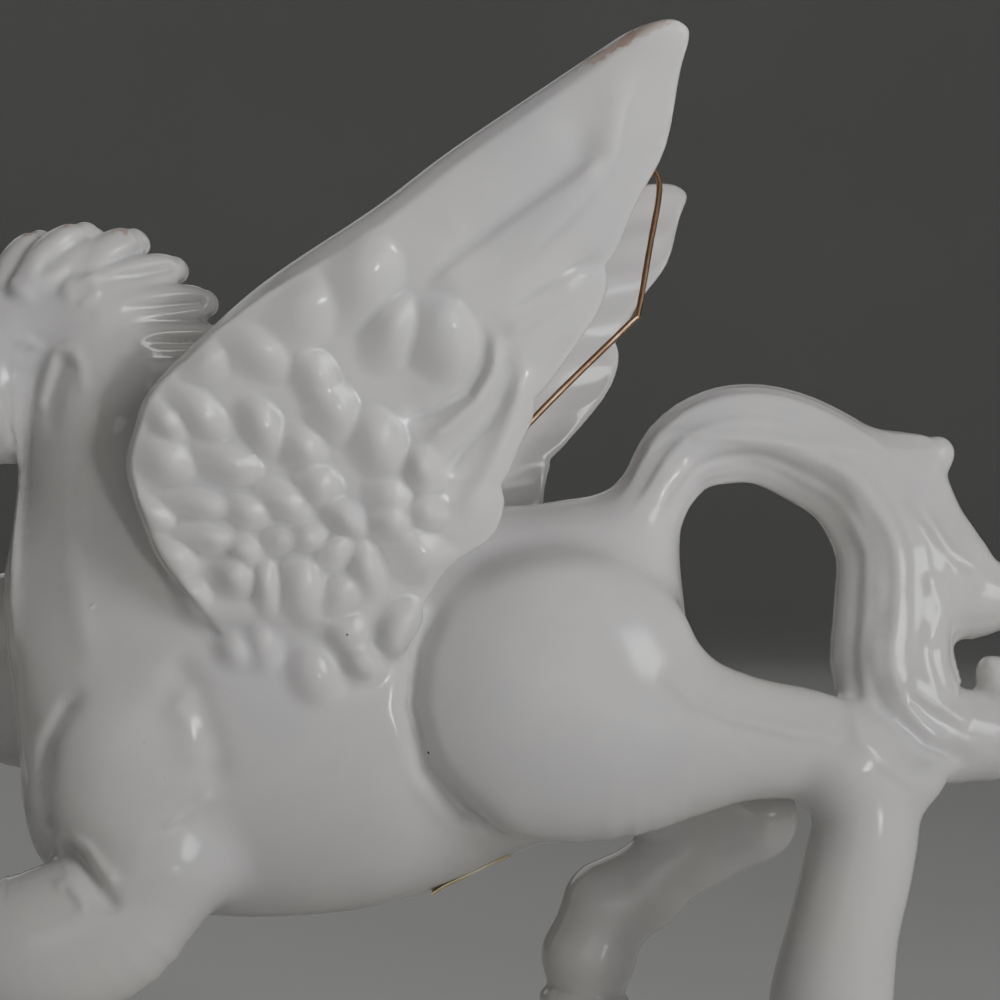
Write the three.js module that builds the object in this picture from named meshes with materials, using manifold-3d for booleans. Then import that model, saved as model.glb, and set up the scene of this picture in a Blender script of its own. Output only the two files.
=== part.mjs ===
// Porcelain pegasus figurine: a slip-cast winged horse leaping off an oval plinth.
//
// Every casting that the maker luted on with slip is its own solid.
// JOINT_GAP is the thickness of that slip.
// Units are millimetres, +Z is up, the horse faces -X and its left side faces -Y.
// The origin is the centre of the plinth's flat underside.

import * as THREE from "three";
import { LoftGeometry } from "three/addons/geometries/LoftGeometry.js";
import { mergeVertices } from "three/addons/utils/BufferGeometryUtils.js";
import Module from "manifold-3d";

// Driving dimensions

const JOINT_GAP = 0.3; // slip layer between two luted castings

const BASE_LENGTH = 148;
const BASE_WIDTH = 96;
const BASE_HEIGHT = 14;
const BASE_EDGE_RADIUS = 5; // soft top edge
const BASE_FOOT_CHAMFER = 1.2; // wiped edge round the underside

const TORSO_WALL = 5; // wall of the hollow casting
const VENT_DIAMETER = 5; // firing vent under the belly
const VENT_X = -24;

const HIND_TRACK = 36; // between the middles of the left and the right hind leg
const FORE_TRACK = 31; // between the middles of the left and the right foreleg

const WING_HEIGHT = 92.5; // from the lowest feather to the tip
const WING_ROOT_SINK = 0.8; // how far the wing's middle surface lies inside the body's side, at the root
const WING_FLARE = 27; // how much further out the tip is
const WING_FLARE_POWER = 2.2; // how late the wing turns outwards
const RIGHT_WING_SWEEP = 6.5; // degrees, the right wing was set on further back than the left
const RIGHT_WING_LEAN = 8; // degrees, and further out

const WIRE_DIAMETER = 1;
const WIRE_EYE_DIAMETER = 3.8; // middle of the wire, at each end of the hanging wire
const STAPLE_X = -5;
const STAPLE_SPAN = 5.2; // between the middles of its two legs
const EYE_CLEARANCE = 0.8; // between the hanging wire's lower eye and the back
const STAPLE_DEPTH = 4; // legs set into the back

const LABEL_LENGTH = 12;
const LABEL_ARC = 50; // degrees of the belly's girth that the label covers
const LABEL_THICKNESS = 0.4;
const LABEL_X = -10.5; // front edge, on the belly
const LABEL_LIFT = 1.2; // how far the front edge has come unstuck

// Numbers of facets

const BODY_SIDES = 24;
const HEAD_SIDES = 16;
const HOLLOW_SIDES = 12;
const LIMB_SIDES = 12;
const SWELLING_SIDES = 16;
const LOCK_SIDES = 6;
const WIRE_SIDES = 6;
const WIRE_STEPS = 2; // rings between two listed points
const BASE_SIDES = 48;
const BASE_EDGE_STEPS = 3;
const LABEL_STEPS = 6;
const WING_CHORD_STEPS = 12;
const BODY_RINGS = 2; // loft rings for each listed section of the body
const DOME_RINGS = 2; // rings that round off each end of a limb

const GLAZE = { color: 0xd9d8d4, roughness: 0.16, metalness: 0 };
const COPPER = { color: 0xb87446, roughness: 0.35, metalness: 1 };
const PAPER = { color: 0xc9bf8e, roughness: 0.8, metalness: 0 };

const wasm = await Module();
wasm.setup();

// Solids: from a three.js geometry to a closed body that can be joined and cut, and back

function solidOf(geometry) {
  const bare = new THREE.BufferGeometry();
  bare.setAttribute("position", geometry.getAttribute("position"));
  bare.setIndex(geometry.getIndex());
  const merged = mergeVertices(bare, 1e-4);
  const mesh = new wasm.Mesh({
    numProp: 3,
    vertProperties: new Float32Array(merged.attributes.position.array),
    triVerts: new Uint32Array(merged.index.array),
  });
  return new wasm.Manifold(mesh);
}

function geometryOf(solid) {
  const mesh = solid.getMesh();
  const geometry = new THREE.BufferGeometry();
  geometry.setAttribute("position", new THREE.BufferAttribute(mesh.vertProperties, 3));
  geometry.setIndex(new THREE.BufferAttribute(mesh.triVerts, 1));
  geometry.computeVertexNormals();
  return geometry;
}

function join(...solids) {
  return solids.reduce((whole, solid) => whole.add(solid));
}

function cut(solid, ...cutters) {
  return cutters.reduce((left, cutter) => left.subtract(cutter), solid);
}

// Rows of numbers, each listed at a few places along a form, drawn through smoothly

function smoothRows(rows, perSpan) {
  const columns = rows[0].map((_, c) => rows.map((row) => row[c]));
  const fine = [];
  const last = rows.length - 1;
  for (let step = 0; step <= last * perSpan; step++) {
    const place = step / perSpan;
    const span = Math.min(Math.floor(place), last - 1);
    fine.push(columns.map((values) => throughPoint(values, span, place - span)));
  }
  return fine;
}

function throughPoint(values, span, t) {
  const b = values[span];
  const c = values[span + 1];
  const a = values[span - 1] ?? 2 * b - c;
  const d = values[span + 2] ?? 2 * c - b;
  const bend = 2 * a - 5 * b + 4 * c - d;
  const twist = 3 * (b - c) + d - a;
  return b + 0.5 * t * (c - a + t * (bend + t * twist));
}

// A ring of points round a centre, squashed along two directions
function ellipseRing(centre, across, side, acrossRadius, sideRadius, sides) {
  return Array.from({ length: sides }, (_, i) => {
    const angle = (2 * Math.PI * i) / sides;
    return centre
      .clone()
      .addScaledVector(across, acrossRadius * Math.cos(angle))
      .addScaledVector(side, sideRadius * Math.sin(angle));
  });
}

// A limb is listed as rows of [x, y, z, radius in the side view, radius across], from one end to the other
function limb(rows, { grow = 0, sides = LIMB_SIDES, domes = DOME_RINGS } = {}) {
  const centres = rows.map(([x, y, z]) => new THREE.Vector3(x, y, z));
  const sections = [];
  const ringAt = (centre, along, acrossRadius, sideRadius) => {
    const across = new THREE.Vector3(0, 1, 0).cross(along).normalize();
    const side = along.clone().cross(across);
    sections.push(ellipseRing(centre, across, side, acrossRadius, sideRadius, sides));
  };
  const domeAt = (centre, along, row, outwards) => {
    const [acrossRadius, sideRadius] = [row[3] + grow, row[4] + grow];
    const reach = Math.min(acrossRadius, sideRadius) * outwards;
    const rings = Array.from({ length: domes }, (_, i) => ((i + 0.6) / domes) * (Math.PI / 2));
    for (const angle of outwards < 0 ? rings.reverse() : rings) {
      const place = centre.clone().addScaledVector(along, reach * Math.sin(angle));
      ringAt(place, along, acrossRadius * Math.cos(angle), sideRadius * Math.cos(angle));
    }
  };
  const directions = centres.map((_, i) => {
    const before = centres[Math.max(i - 1, 0)];
    const after = centres[Math.min(i + 1, centres.length - 1)];
    return after.clone().sub(before).normalize();
  });
  const last = rows.length - 1;
  domeAt(centres[0], directions[0], rows[0], -1);
  rows.forEach((row, i) => ringAt(centres[i], directions[i], row[3] + grow, row[4] + grow));
  domeAt(centres[last], directions[last], rows[last], 1);
  return solidOf(new LoftGeometry(sections, { capStart: true, capEnd: true }));
}

// A swollen muscle: an ellipsoid round a centre
function swelling([x, y, z], [rx, ry, rz], grow = 0) {
  const ball = new THREE.SphereGeometry(1, SWELLING_SIDES, SWELLING_SIDES / 2);
  ball.scale(rx + grow, ry + grow, rz + grow);
  ball.translate(x, y, z);
  return solidOf(ball);
}

// A hoof: a cone frustum between a coronet and a wider sole, each [x, y, z, radius]
function hoof(coronet, sole, grow = 0) {
  const from = new THREE.Vector3(...coronet);
  const to = new THREE.Vector3(...sole);
  const along = to.clone().sub(from).normalize();
  const across = new THREE.Vector3(0, 1, 0).cross(along).normalize();
  const side = along.clone().cross(across);
  from.addScaledVector(along, -grow);
  to.addScaledVector(along, grow);
  const [top, foot] = [coronet[3] + grow, sole[3] + grow];
  const sections = [
    ellipseRing(from, across, side, top, top, LIMB_SIDES),
    ellipseRing(to, across, side, foot, foot, LIMB_SIDES),
  ];
  return solidOf(new LoftGeometry(sections, { capStart: true, capEnd: true }));
}

// Round wire drawn smoothly through a list of points
function wire(points, grow = 0) {
  const radius = WIRE_DIAMETER / 2 + grow;
  const path = new THREE.CatmullRomCurve3(points).getPoints((points.length - 1) * WIRE_STEPS);
  const across = new THREE.Vector3(0.3, 1, 0.2);
  const sections = path.map((point, i) => {
    const before = path[Math.max(i - 1, 0)];
    const after = path[Math.min(i + 1, path.length - 1)];
    const along = after.clone().sub(before).normalize();
    across.addScaledVector(along, -across.dot(along)).normalize();
    return ellipseRing(point, across, along.clone().cross(across), radius, radius, WIRE_SIDES);
  });
  return solidOf(new LoftGeometry(sections, { capStart: true, capEnd: true }));
}

// The plinth

function plinth() {
  const rings = [
    [BASE_FOOT_CHAMFER, 0],
    [0, BASE_FOOT_CHAMFER],
  ];
  for (let step = 0; step <= BASE_EDGE_STEPS; step++) {
    const angle = ((Math.PI / 2) * step) / BASE_EDGE_STEPS;
    const inset = BASE_EDGE_RADIUS * (1 - Math.cos(angle));
    rings.push([inset, BASE_HEIGHT - BASE_EDGE_RADIUS * (1 - Math.sin(angle))]);
  }
  const [along, across] = [new THREE.Vector3(1, 0, 0), new THREE.Vector3(0, 1, 0)];
  const sections = rings.map(([inset, z]) => {
    const centre = new THREE.Vector3(0, 0, z);
    return ellipseRing(centre, along, across, BASE_LENGTH / 2 - inset, BASE_WIDTH / 2 - inset, BASE_SIDES);
  });
  return solidOf(new LoftGeometry(sections, { capStart: true, capEnd: true }));
}

// The body: rows of [x, top, bottom, half width], from the breast to the buttocks

const TORSO_ROWS = [
  [-72.3, 68.5, 53.5, 6],
  [-69.8, 82, 44.5, 13],
  [-63, 90, 39.3, 18],
  [-54, 95.5, 36.3, 20.5],
  [-42, 99.3, 34.8, 22],
  [-30, 100.3, 34.8, 22.5],
  [-18, 98.5, 36.3, 22],
  [-7.5, 96.5, 39.7, 20.2],
  [3, 96.1, 44.5, 18.8],
  [12, 97.3, 47.5, 18.2],
  [19.5, 97, 52, 16.8],
  [25.5, 93.3, 61, 13],
  [28.5, 86.5, 71.5, 6],
];

const TORSO_RINGS = smoothRows(TORSO_ROWS, BODY_RINGS);

function torsoShape(grow, rows = TORSO_RINGS, sides = BODY_SIDES) {
  const middle = (rows[0][0] + rows.at(-1)[0]) / 2;
  const half = rows.at(-1)[0] - middle;
  const across = new THREE.Vector3(0, 0, 1);
  const side = new THREE.Vector3(0, -1, 0);
  const sections = rows.map(([x, top, bottom, halfWidth]) => {
    const place = middle + (x - middle) * (1 + grow / half);
    const centre = new THREE.Vector3(place, 0, (top + bottom) / 2);
    return ellipseRing(centre, across, side, (top - bottom) / 2 + grow, halfWidth + grow, sides);
  });
  return solidOf(new LoftGeometry(sections, { capStart: true, capEnd: true }));
}

// Top, bottom and half width of the body at a place along it
function torsoAt(x) {
  const span = TORSO_RINGS.findLastIndex((ring, i) => ring[0] <= x && i < TORSO_RINGS.length - 1);
  const [from, to] = [TORSO_RINGS[span], TORSO_RINGS[span + 1]];
  const t = (x - from[0]) / (to[0] - from[0]);
  const [top, bottom, halfWidth] = [1, 2, 3].map((c) => from[c] + t * (to[c] - from[c]));
  return { top, bottom, halfWidth };
}

// Neck, head and hair: limbs in the middle plane

const NECK_ROWS = [
  [-42.8, 0, 73, 24, 18],
  [-49.5, 0, 89.2, 24, 16],
  [-54, 0, 103.8, 17.7, 13],
  [-57.8, 0, 115, 13.8, 11],
  [-60.8, 0, 124, 10.8, 9.5],
];

const HEAD_ROWS = [
  [-67.2, 0, 118, 5, 4],
  [-70.5, 0, 117.7, 10.5, 7.5],
  [-76.5, 0, 116.5, 14.2, 9.3],
  [-84, 0, 112.8, 12.6, 8.8],
  [-91.5, 0, 108.6, 9.9, 7.4],
  [-99, 0, 104.2, 7.8, 6.2],
  [-105, 0, 100.8, 6.6, 6],
];

// One ear, from the poll to its tip, on the left
const EAR_ROWS = [
  [-78.5, -4.5, 127, 2.6, 2.4],
  [-79.5, -5.8, 132, 3, 2.2],
  [-81, -6.6, 137, 2.2, 1.7],
  [-82.3, -7, 141, 0.8, 0.8],
];

const FORELOCK_ROWS = [
  [-75.5, 0, 131, 2.6, 3.2],
  [-81.5, 0, 131, 2.6, 3.2],
  [-88, 0, 126, 2.4, 2.8],
  [-93.5, 0, 121, 1, 1.4],
];

// The mane's locks: x, y, z of the root on the left of the neck and of the tip over the crest, half width
const MANE_LOCKS = [
  [-73.5, -5, 128.5, -68.5, -1.5, 135.5, 3.4],
  [-70, -6, 128.5, -61, -1.5, 136, 4.2],
  [-64, -6.5, 130, -55, -1.5, 134.5, 3.4],
  [-63, -7.5, 127.5, -48.5, -1.5, 131.5, 3.2],
  [-58.5, -8, 124.5, -44, -1.5, 126.5, 3.2],
  [-55, -8.5, 120, -41, -1.5, 120.5, 3],
  [-51, -9, 114.5, -35, -1.5, 113.5, 3.2],
  [-44, -10, 107, -28, -1.5, 105.5, 3.4],
];
const MANE_CREST_ROWS = [
  [-73, 0, 130, 2.4, 3],
  [-64, 0, 133, 2.6, 3],
  [-55, 0, 130, 3, 3],
  [-47, 0, 123, 3, 3],
  [-40, 0, 113, 3, 3],
  [-31, 0, 103.5, 3, 3],
];

function maneLocks(mirror) {
  return MANE_LOCKS.map((lock) => {
    const [root, tip, width] = [lock.slice(0, 3), lock.slice(3, 6), lock[6]];
    const rows = [0, 0.35, 0.7, 1].map((t, i) => {
      const place = root.map((value, axis) => value + t * (tip[axis] - value));
      const swell = [0.6, 0.95, 1, 0.6][i];
      return [place[0], place[1] * mirror, place[2], width * swell * 0.75, width * swell];
    });
    return limb(rows, { sides: LOCK_SIDES, domes: 1 });
  });
}

// Legs: swollen muscles as [centre, radii], limbs, and a hoof as its coronet and its sole.
// Each second number is measured outwards from the leg's own track.

const LEFT_HIND_MUSCLES = [
  [[8.2, -2, 68.4], [21.6, 11, 20.6]],
];
const LEFT_HIND_LIMBS = [
  [
    [9.5, -3.5, 67, 17, 10.5],
    [18, -2, 63.6, 15, 10],
    [27.1, -0.8, 62.4, 10.8, 8.8],
    [35.7, 0, 62.1, 7.9, 7.5],
    [43.6, 0, 61.5, 7.4, 7.2],
    [49, 0, 60, 7.6, 7.4],
  ],
  [
    [50.8, 0, 58, 7.6, 7.2],
    [52.2, 0, 51.9, 8.4, 7.6],
    [51.2, 0, 44.1, 8.7, 7.8],
    [49.3, 0, 35.5, 8.6, 7.8],
    [47.4, 0, 25.5, 8.8, 8],
    [46.6, 0, 18.4, 8.2, 8],
    [45.4, 0, 11.2, 8, 8],
    [45, 0, 10, 7.6, 7.6],
  ],
];
const LEFT_HIND_HOOF = [
  [44.6, 0, 8, 9.2],
  [44.6, 0, 0, 10.8],
];

const RIGHT_HIND_MUSCLES = [
  [[9, -2.5, 66.5], [20, 10.5, 19.5]],
  [[22.6, 0, 34.2], [5.2, 5, 4.6]],
];
const RIGHT_HIND_LIMBS = [
  [
    [12.5, -3, 60, 13.5, 9.5],
    [25, -1, 54.3, 9.8, 8],
    [35.2, 0, 50, 7, 6.6],
    [40.3, 0, 47.6, 6.3, 6.2],
  ],
  [
    [39.6, 0, 47, 6.3, 6],
    [31.3, 0, 42.3, 6.2, 5.8],
    [23.5, 0, 37.9, 6.1, 5.8],
    [17.8, 0, 34, 6.6, 6.2],
  ],
  [
    [16.2, 0, 33, 6.2, 6],
    [14.6, 0, 28.5, 6, 5.8],
    [14, 0, 24.5, 6.4, 6.2],
  ],
];
const RIGHT_HIND_HOOF = [
  [13.8, 0, 24, 7],
  [12.6, 0, 12.3, 8],
];

const LEFT_FORE_MUSCLES = [
  [[-53.6, -1, 58.1], [12.7, 9.5, 15.2]],
  [[-49.7, -1.5, 44.5], [10, 8.5, 9.5]],
];
const LEFT_FORE_LIMBS = [
  [
    [-48.2, -0.5, 44.4, 8.3, 8],
    [-56.2, 0, 36.5, 11, 9],
    [-66.2, 0.5, 32.5, 11.2, 9],
    [-77.8, 0.5, 31.5, 9, 7.8],
    [-87, 0.5, 31, 7.2, 7],
  ],
  [
    [-88.1, 0.5, 30, 6.4, 6.2],
    [-85.9, 0.5, 22.3, 5.4, 5.2],
    [-82.4, 0.5, 15.6, 5.8, 5.6],
    [-79.6, 0.5, 11.6, 5.4, 5.4],
  ],
];
const LEFT_FORE_HOOF = [
  [-79.4, 0.5, 11.4, 5.9],
  [-74.6, 0.5, 6.2, 7.6],
];

const RIGHT_FORE_MUSCLES = [
  [[-60.7, -1, 62.7], [12, 9.5, 15]],
];
const RIGHT_FORE_LIMBS = [
  [
    [-62, -1, 66.5, 13, 9.5],
    [-73.1, 0, 70.8, 15.5, 9.5],
    [-84, 0, 72.9, 11.8, 8.2],
    [-94.9, 0, 74, 7.8, 6.8],
    [-98, 0, 73.8, 7.2, 6.8],
  ],
  [
    [-99, 0, 72.4, 6.3, 6],
    [-98, 0, 64.3, 5.3, 5],
    [-95.7, 0, 55.7, 5.2, 5],
    [-94.2, 0, 51.1, 5.7, 5.4],
    [-92.2, 0, 46.6, 5.3, 5.3],
  ],
];
const RIGHT_FORE_HOOF = [
  [-92, 0, 46.2, 5.9],
  [-88.3, 0, 40.4, 7.5],
];

function leg(muscles, limbs, [coronet, sole], track, side, grow = 0) {
  const placed = ([x, outwards, ...rest]) => [x, side * (track / 2 + outwards), ...rest];
  const solids = [
    ...muscles.map(([centre, radii]) => swelling(placed(centre), radii, grow)),
    ...limbs.map((rows) => limb(rows.map(placed), { grow })),
    hoof(placed(coronet), placed(sole), grow),
  ];
  return join(...solids);
}

function leftHind(grow) {
  return leg(LEFT_HIND_MUSCLES, LEFT_HIND_LIMBS, LEFT_HIND_HOOF, HIND_TRACK, -1, grow);
}

function rightHind(grow) {
  return leg(RIGHT_HIND_MUSCLES, RIGHT_HIND_LIMBS, RIGHT_HIND_HOOF, HIND_TRACK, 1, grow);
}

function leftFore(grow) {
  return leg(LEFT_FORE_MUSCLES, LEFT_FORE_LIMBS, LEFT_FORE_HOOF, FORE_TRACK, -1, grow);
}

function rightFore(grow) {
  return leg(RIGHT_FORE_MUSCLES, RIGHT_FORE_LIMBS, RIGHT_FORE_HOOF, FORE_TRACK, 1, grow);
}

// The tail: an arch that falls to the left hock, two flicks and a curl

const TAIL_LOCKS = [
  [
    [19, 0, 90.3, 6, 8],
    [22.4, 0, 98, 5.6, 8],
    [26.6, 0, 104.4, 6.5, 8],
    [32.3, 0, 107.2, 7, 8],
    [39, 0, 107, 7.3, 8],
    [46.2, 0, 104.2, 7.8, 8.2],
    [53.4, -2, 99, 7.8, 8.5],
    [57.8, -5, 89.9, 8.1, 8.8],
    [57.8, -8, 80.1, 8.7, 8.8],
    [57.8, -10, 71.9, 8.9, 8.4],
    [62.5, -10.5, 63.9, 7.8, 7.6],
    [71, -10, 62.2, 6.2, 6.6],
  ],
  [
    [57, -2, 101.5, 4.6, 5],
    [63, -2, 103.2, 3.2, 3.6],
    [66.2, -2, 104.6, 1.2, 1.6],
  ],
  [
    [58, -3, 97, 6, 6],
    [63.4, -3, 96.4, 3.8, 4],
  ],
  [
    [60, -6, 87.2, 6.5, 6.5],
    [68.7, -6, 84.2, 5.4, 5.4],
    [74.7, -6, 82.5, 4.4, 4.4],
    [80.8, -6, 81.5, 2.8, 3],
    [85.2, -6, 82.2, 1, 1.4],
  ],
  [
    [78, -9, 62.5, 4.4, 4.6],
    [85, -8.5, 65, 2.6, 2.8],
    [89, -8, 68, 0.9, 1.2],
  ],
];
const TAIL_CURL = [
  [77.4, -9, 67.4],
  [6.9, 5, 6.9],
]; // centre, radii

function tailShape() {
  const locks = TAIL_LOCKS.map((rows) => limb(rows));
  return join(...locks, swelling(...TAIL_CURL));
}

// Wings: rows of [height, leading edge, trailing edge, half thickness], from the lowest feather to the tip.
// WING_HEIGHT stretches the heights.

const WING_ROWS = [
  [68.2, -28, -24, 1.6],
  [71, -31.5, -21, 2.3],
  [74, -35.5, -17.5, 2.8],
  [79.4, -41.5, -12.5, 3.4],
  [87.1, -47.7, -7.5, 3.6],
  [92.5, -50.3, -0.6, 3.6],
  [101.2, -52.8, 1.5, 3.4],
  [107, -51.5, 4, 3.2],
  [113, -48.7, 6.8, 3.1],
  [123.4, -37.7, 13.8, 2.9],
  [129.2, -30.1, 15.4, 2.7],
  [137.2, -17.3, 18.5, 2.5],
  [144.7, -6.7, 22.4, 2.3],
  [153.9, 8, 24, 2],
  [158.5, 15.5, 25.1, 1.6],
  [160.7, 19.5, 24.2, 1],
];
const WING_ROOT = { x: -20, z: 82 }; // the middle of the luted patch, which a wing is turned about
const WING_ROOT_OUT = torsoAt(WING_ROOT.x).halfWidth - WING_ROOT_SINK;

// How thick a wing is across its chord, from a round leading edge to a thin trailing edge
function wingThickness(chordPlace) {
  const nose = 0.12;
  const round = chordPlace < nose ? Math.sqrt(1 - (1 - chordPlace / nose) ** 2) : 1;
  const taper = 1 - 0.55 * Math.max(chordPlace - nose, 0);
  const end = Math.sqrt(Math.min((1 - chordPlace) / 0.08, 1));
  return round * taper * end;
}

function wingShape(side, { sweep = 0, lean = 0 } = {}) {
  const [lowest, highest] = [WING_ROWS[0][0], WING_ROWS.at(-1)[0]];
  const steps = Array.from({ length: WING_CHORD_STEPS + 1 }, (_, i) => i / WING_CHORD_STEPS);
  const chord = steps.map((step) => (1 - Math.cos(Math.PI * step)) / 2);
  const sections = WING_ROWS.map(([height, lead, trail, half]) => {
    const rise = (height - lowest) / (highest - lowest);
    const z = lowest + WING_HEIGHT * rise;
    const middle = WING_ROOT_OUT + WING_FLARE * rise ** WING_FLARE_POWER;
    const at = (place, face) => {
      const out = middle + face * half * wingThickness(place);
      return new THREE.Vector3(lead + place * (trail - lead), side * out, z);
    };
    const outer = chord.map((place) => at(place, 1));
    const inner = chord.slice(1, -1).map((place) => at(place, -1));
    const ring = [...outer, ...inner.reverse()];
    return side < 0 ? ring : ring.reverse();
  });
  const wing = new LoftGeometry(sections, { capStart: true, capEnd: true });
  wing.translate(-WING_ROOT.x, -side * WING_ROOT_OUT, -WING_ROOT.z);
  wing.rotateY(THREE.MathUtils.degToRad(sweep));
  wing.rotateX(THREE.MathUtils.degToRad(-side * lean));
  wing.translate(WING_ROOT.x, side * WING_ROOT_OUT, WING_ROOT.z);
  return solidOf(wing);
}

// The copper staple in the back, and the hanging wire whose lower eye turns round the staple's bar

const STAPLE_RISE = (WIRE_EYE_DIAMETER + WIRE_DIAMETER) / 2 + EYE_CLEARANCE;
const STAPLE_BAR = new THREE.Vector3(STAPLE_X, 0, torsoAt(STAPLE_X).top + STAPLE_RISE);

function staplePoints() {
  const half = STAPLE_SPAN / 2;
  const foot = STAPLE_BAR.z - STAPLE_RISE - STAPLE_DEPTH;
  const leftSide = [
    [half, foot],
    [half, STAPLE_BAR.z - STAPLE_RISE],
    [half, STAPLE_BAR.z - WIRE_DIAMETER],
    [half - WIRE_DIAMETER * 0.3, STAPLE_BAR.z - WIRE_DIAMETER * 0.3],
    [half - WIRE_DIAMETER, STAPLE_BAR.z],
  ];
  const place = (sign) => ([y, z]) => new THREE.Vector3(STAPLE_X, sign * y, z);
  return [...leftSide.map(place(-1)), ...leftSide.toReversed().map(place(1))];
}

// Where the hanging wire goes after its lower eye, measured from the staple's bar: its bend, and its upper end
const WIRE_SHANK = [
  [13, 8, 12.9],
  [25.2, 15.5, 25],
  [26.6, 16.5, 26.9],
  [28.6, 22, 37],
  [30.6, 28, 47.4],
  [29.6, 29.5, 51],
];

function eyeAngles(from, turns) {
  return Array.from({ length: 9 }, (_, i) => from + (turns * 2 * Math.PI * i) / 8);
}

function hangingWirePoints() {
  const radius = WIRE_EYE_DIAMETER / 2;
  const onEye = (centre) => (angle) =>
    centre.clone().add(new THREE.Vector3(radius * Math.cos(angle), 0, radius * Math.sin(angle)));
  const shank = WIRE_SHANK.map((offset) => STAPLE_BAR.clone().add(new THREE.Vector3(...offset)));
  const rising = Math.atan2(WIRE_SHANK[0][2], WIRE_SHANK[0][0]);
  const lowerEye = eyeAngles(rising + 1.4, 0.72).map(onEye(STAPLE_BAR));
  const end = shank.at(-1).clone().sub(shank.at(-2)).normalize();
  const upperCentre = shank.at(-1).clone().addScaledVector(end, radius * 1.6);
  const arriving = Math.atan2(-end.z, -end.x);
  const upperEye = eyeAngles(arriving + 0.5, 0.72).map(onEye(upperCentre));
  return [...lowerEye, ...shank, ...upperEye];
}

// The paper label, bent round the belly, with its front edge lifting
function labelShape() {
  const sections = [];
  for (let step = 0; step <= LABEL_STEPS; step++) {
    const along = step / LABEL_STEPS;
    const x = LABEL_X + along * LABEL_LENGTH;
    const { top, bottom, halfWidth } = torsoAt(x);
    const inside = JOINT_GAP + LABEL_LIFT * (1 - along) ** 3;
    const at = (angle, out) => {
      const y = (halfWidth + out) * Math.sin(angle);
      return new THREE.Vector3(x, y, (top + bottom) / 2 - ((top - bottom) / 2 + out) * Math.cos(angle));
    };
    const half = THREE.MathUtils.degToRad(LABEL_ARC / 2);
    const angles = Array.from({ length: LABEL_STEPS + 1 }, (_, i) => half * ((2 * i) / LABEL_STEPS - 1));
    const outer = angles.map((angle) => at(angle, inside + LABEL_THICKNESS));
    const inner = angles.toReversed().map((angle) => at(angle, inside));
    sections.push([...outer, ...inner]);
  }
  return solidOf(new LoftGeometry(sections, { capStart: true, capEnd: true }));
}

// The torso's cuts: the hollow, the vent and the staple's two holes
function ventShape() {
  const { bottom } = torsoAt(VENT_X);
  const vent = new THREE.CylinderGeometry(VENT_DIAMETER / 2, VENT_DIAMETER / 2, 4 * TORSO_WALL, 20);
  vent.rotateX(Math.PI / 2);
  vent.translate(VENT_X, 0, bottom);
  return solidOf(vent);
}

// Assembly: each piece is cut back by the larger pieces that it is luted to

const mirrored = (rows) => rows.map(([x, y, ...rest]) => [x, -y, ...rest]);
const grown = { grow: JOINT_GAP };

const staple = wire(staplePoints());
const hollowRows = TORSO_ROWS.filter(([, , , halfWidth]) => halfWidth > 2 * TORSO_WALL);
const hollow = torsoShape(-TORSO_WALL, hollowRows, HOLLOW_SIDES);
const torso = cut(torsoShape(0), hollow, ventShape(), wire(staplePoints(), JOINT_GAP));
const torsoRoom = torsoShape(JOINT_GAP);

const neck = cut(limb(NECK_ROWS, { sides: BODY_SIDES }), torsoRoom);
const neckRoom = limb(NECK_ROWS, { ...grown, sides: BODY_SIDES });

const head = cut(limb(HEAD_ROWS, { sides: HEAD_SIDES }), neckRoom);
const headRoom = limb(HEAD_ROWS, { ...grown, sides: HEAD_SIDES });

const leftEar = cut(limb(EAR_ROWS, { sides: LOCK_SIDES }), headRoom, neckRoom);
const rightEar = cut(limb(mirrored(EAR_ROWS), { sides: LOCK_SIDES }), headRoom, neckRoom);
const forelock = cut(limb(FORELOCK_ROWS, { sides: LOCK_SIDES }), headRoom, neckRoom);
const forelockRoom = limb(FORELOCK_ROWS, { ...grown, sides: LOCK_SIDES });

const maneWhole = join(limb(MANE_CREST_ROWS, { sides: LOCK_SIDES }), ...maneLocks(1), ...maneLocks(-1));
const mane = cut(maneWhole, neckRoom, headRoom, forelockRoom);

const leftHindLeg = cut(leftHind(0), torsoRoom);
const rightHindLeg = cut(rightHind(0), torsoRoom);
const leftHindRoom = leftHind(JOINT_GAP);
const rightHindRoom = rightHind(JOINT_GAP);
const leftForeleg = cut(leftFore(0), torsoRoom, neckRoom);
const rightForeleg = cut(rightFore(0), torsoRoom, neckRoom);
const leftForeRoom = leftFore(JOINT_GAP);
const rightForeRoom = rightFore(JOINT_GAP);

const leftWing = cut(wingShape(-1), torsoRoom, neckRoom, leftForeRoom, leftHindRoom);
const rightSet = { sweep: RIGHT_WING_SWEEP, lean: RIGHT_WING_LEAN };
const rightWing = cut(wingShape(1, rightSet), torsoRoom, neckRoom, rightForeRoom, rightHindRoom);

const tail = cut(tailShape(), torsoRoom, leftHindRoom, rightHindRoom);

function piece(name, solid, finish) {
  const mesh = new THREE.Mesh(geometryOf(solid), new THREE.MeshStandardMaterial(finish));
  mesh.name = name;
  return mesh;
}

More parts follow.
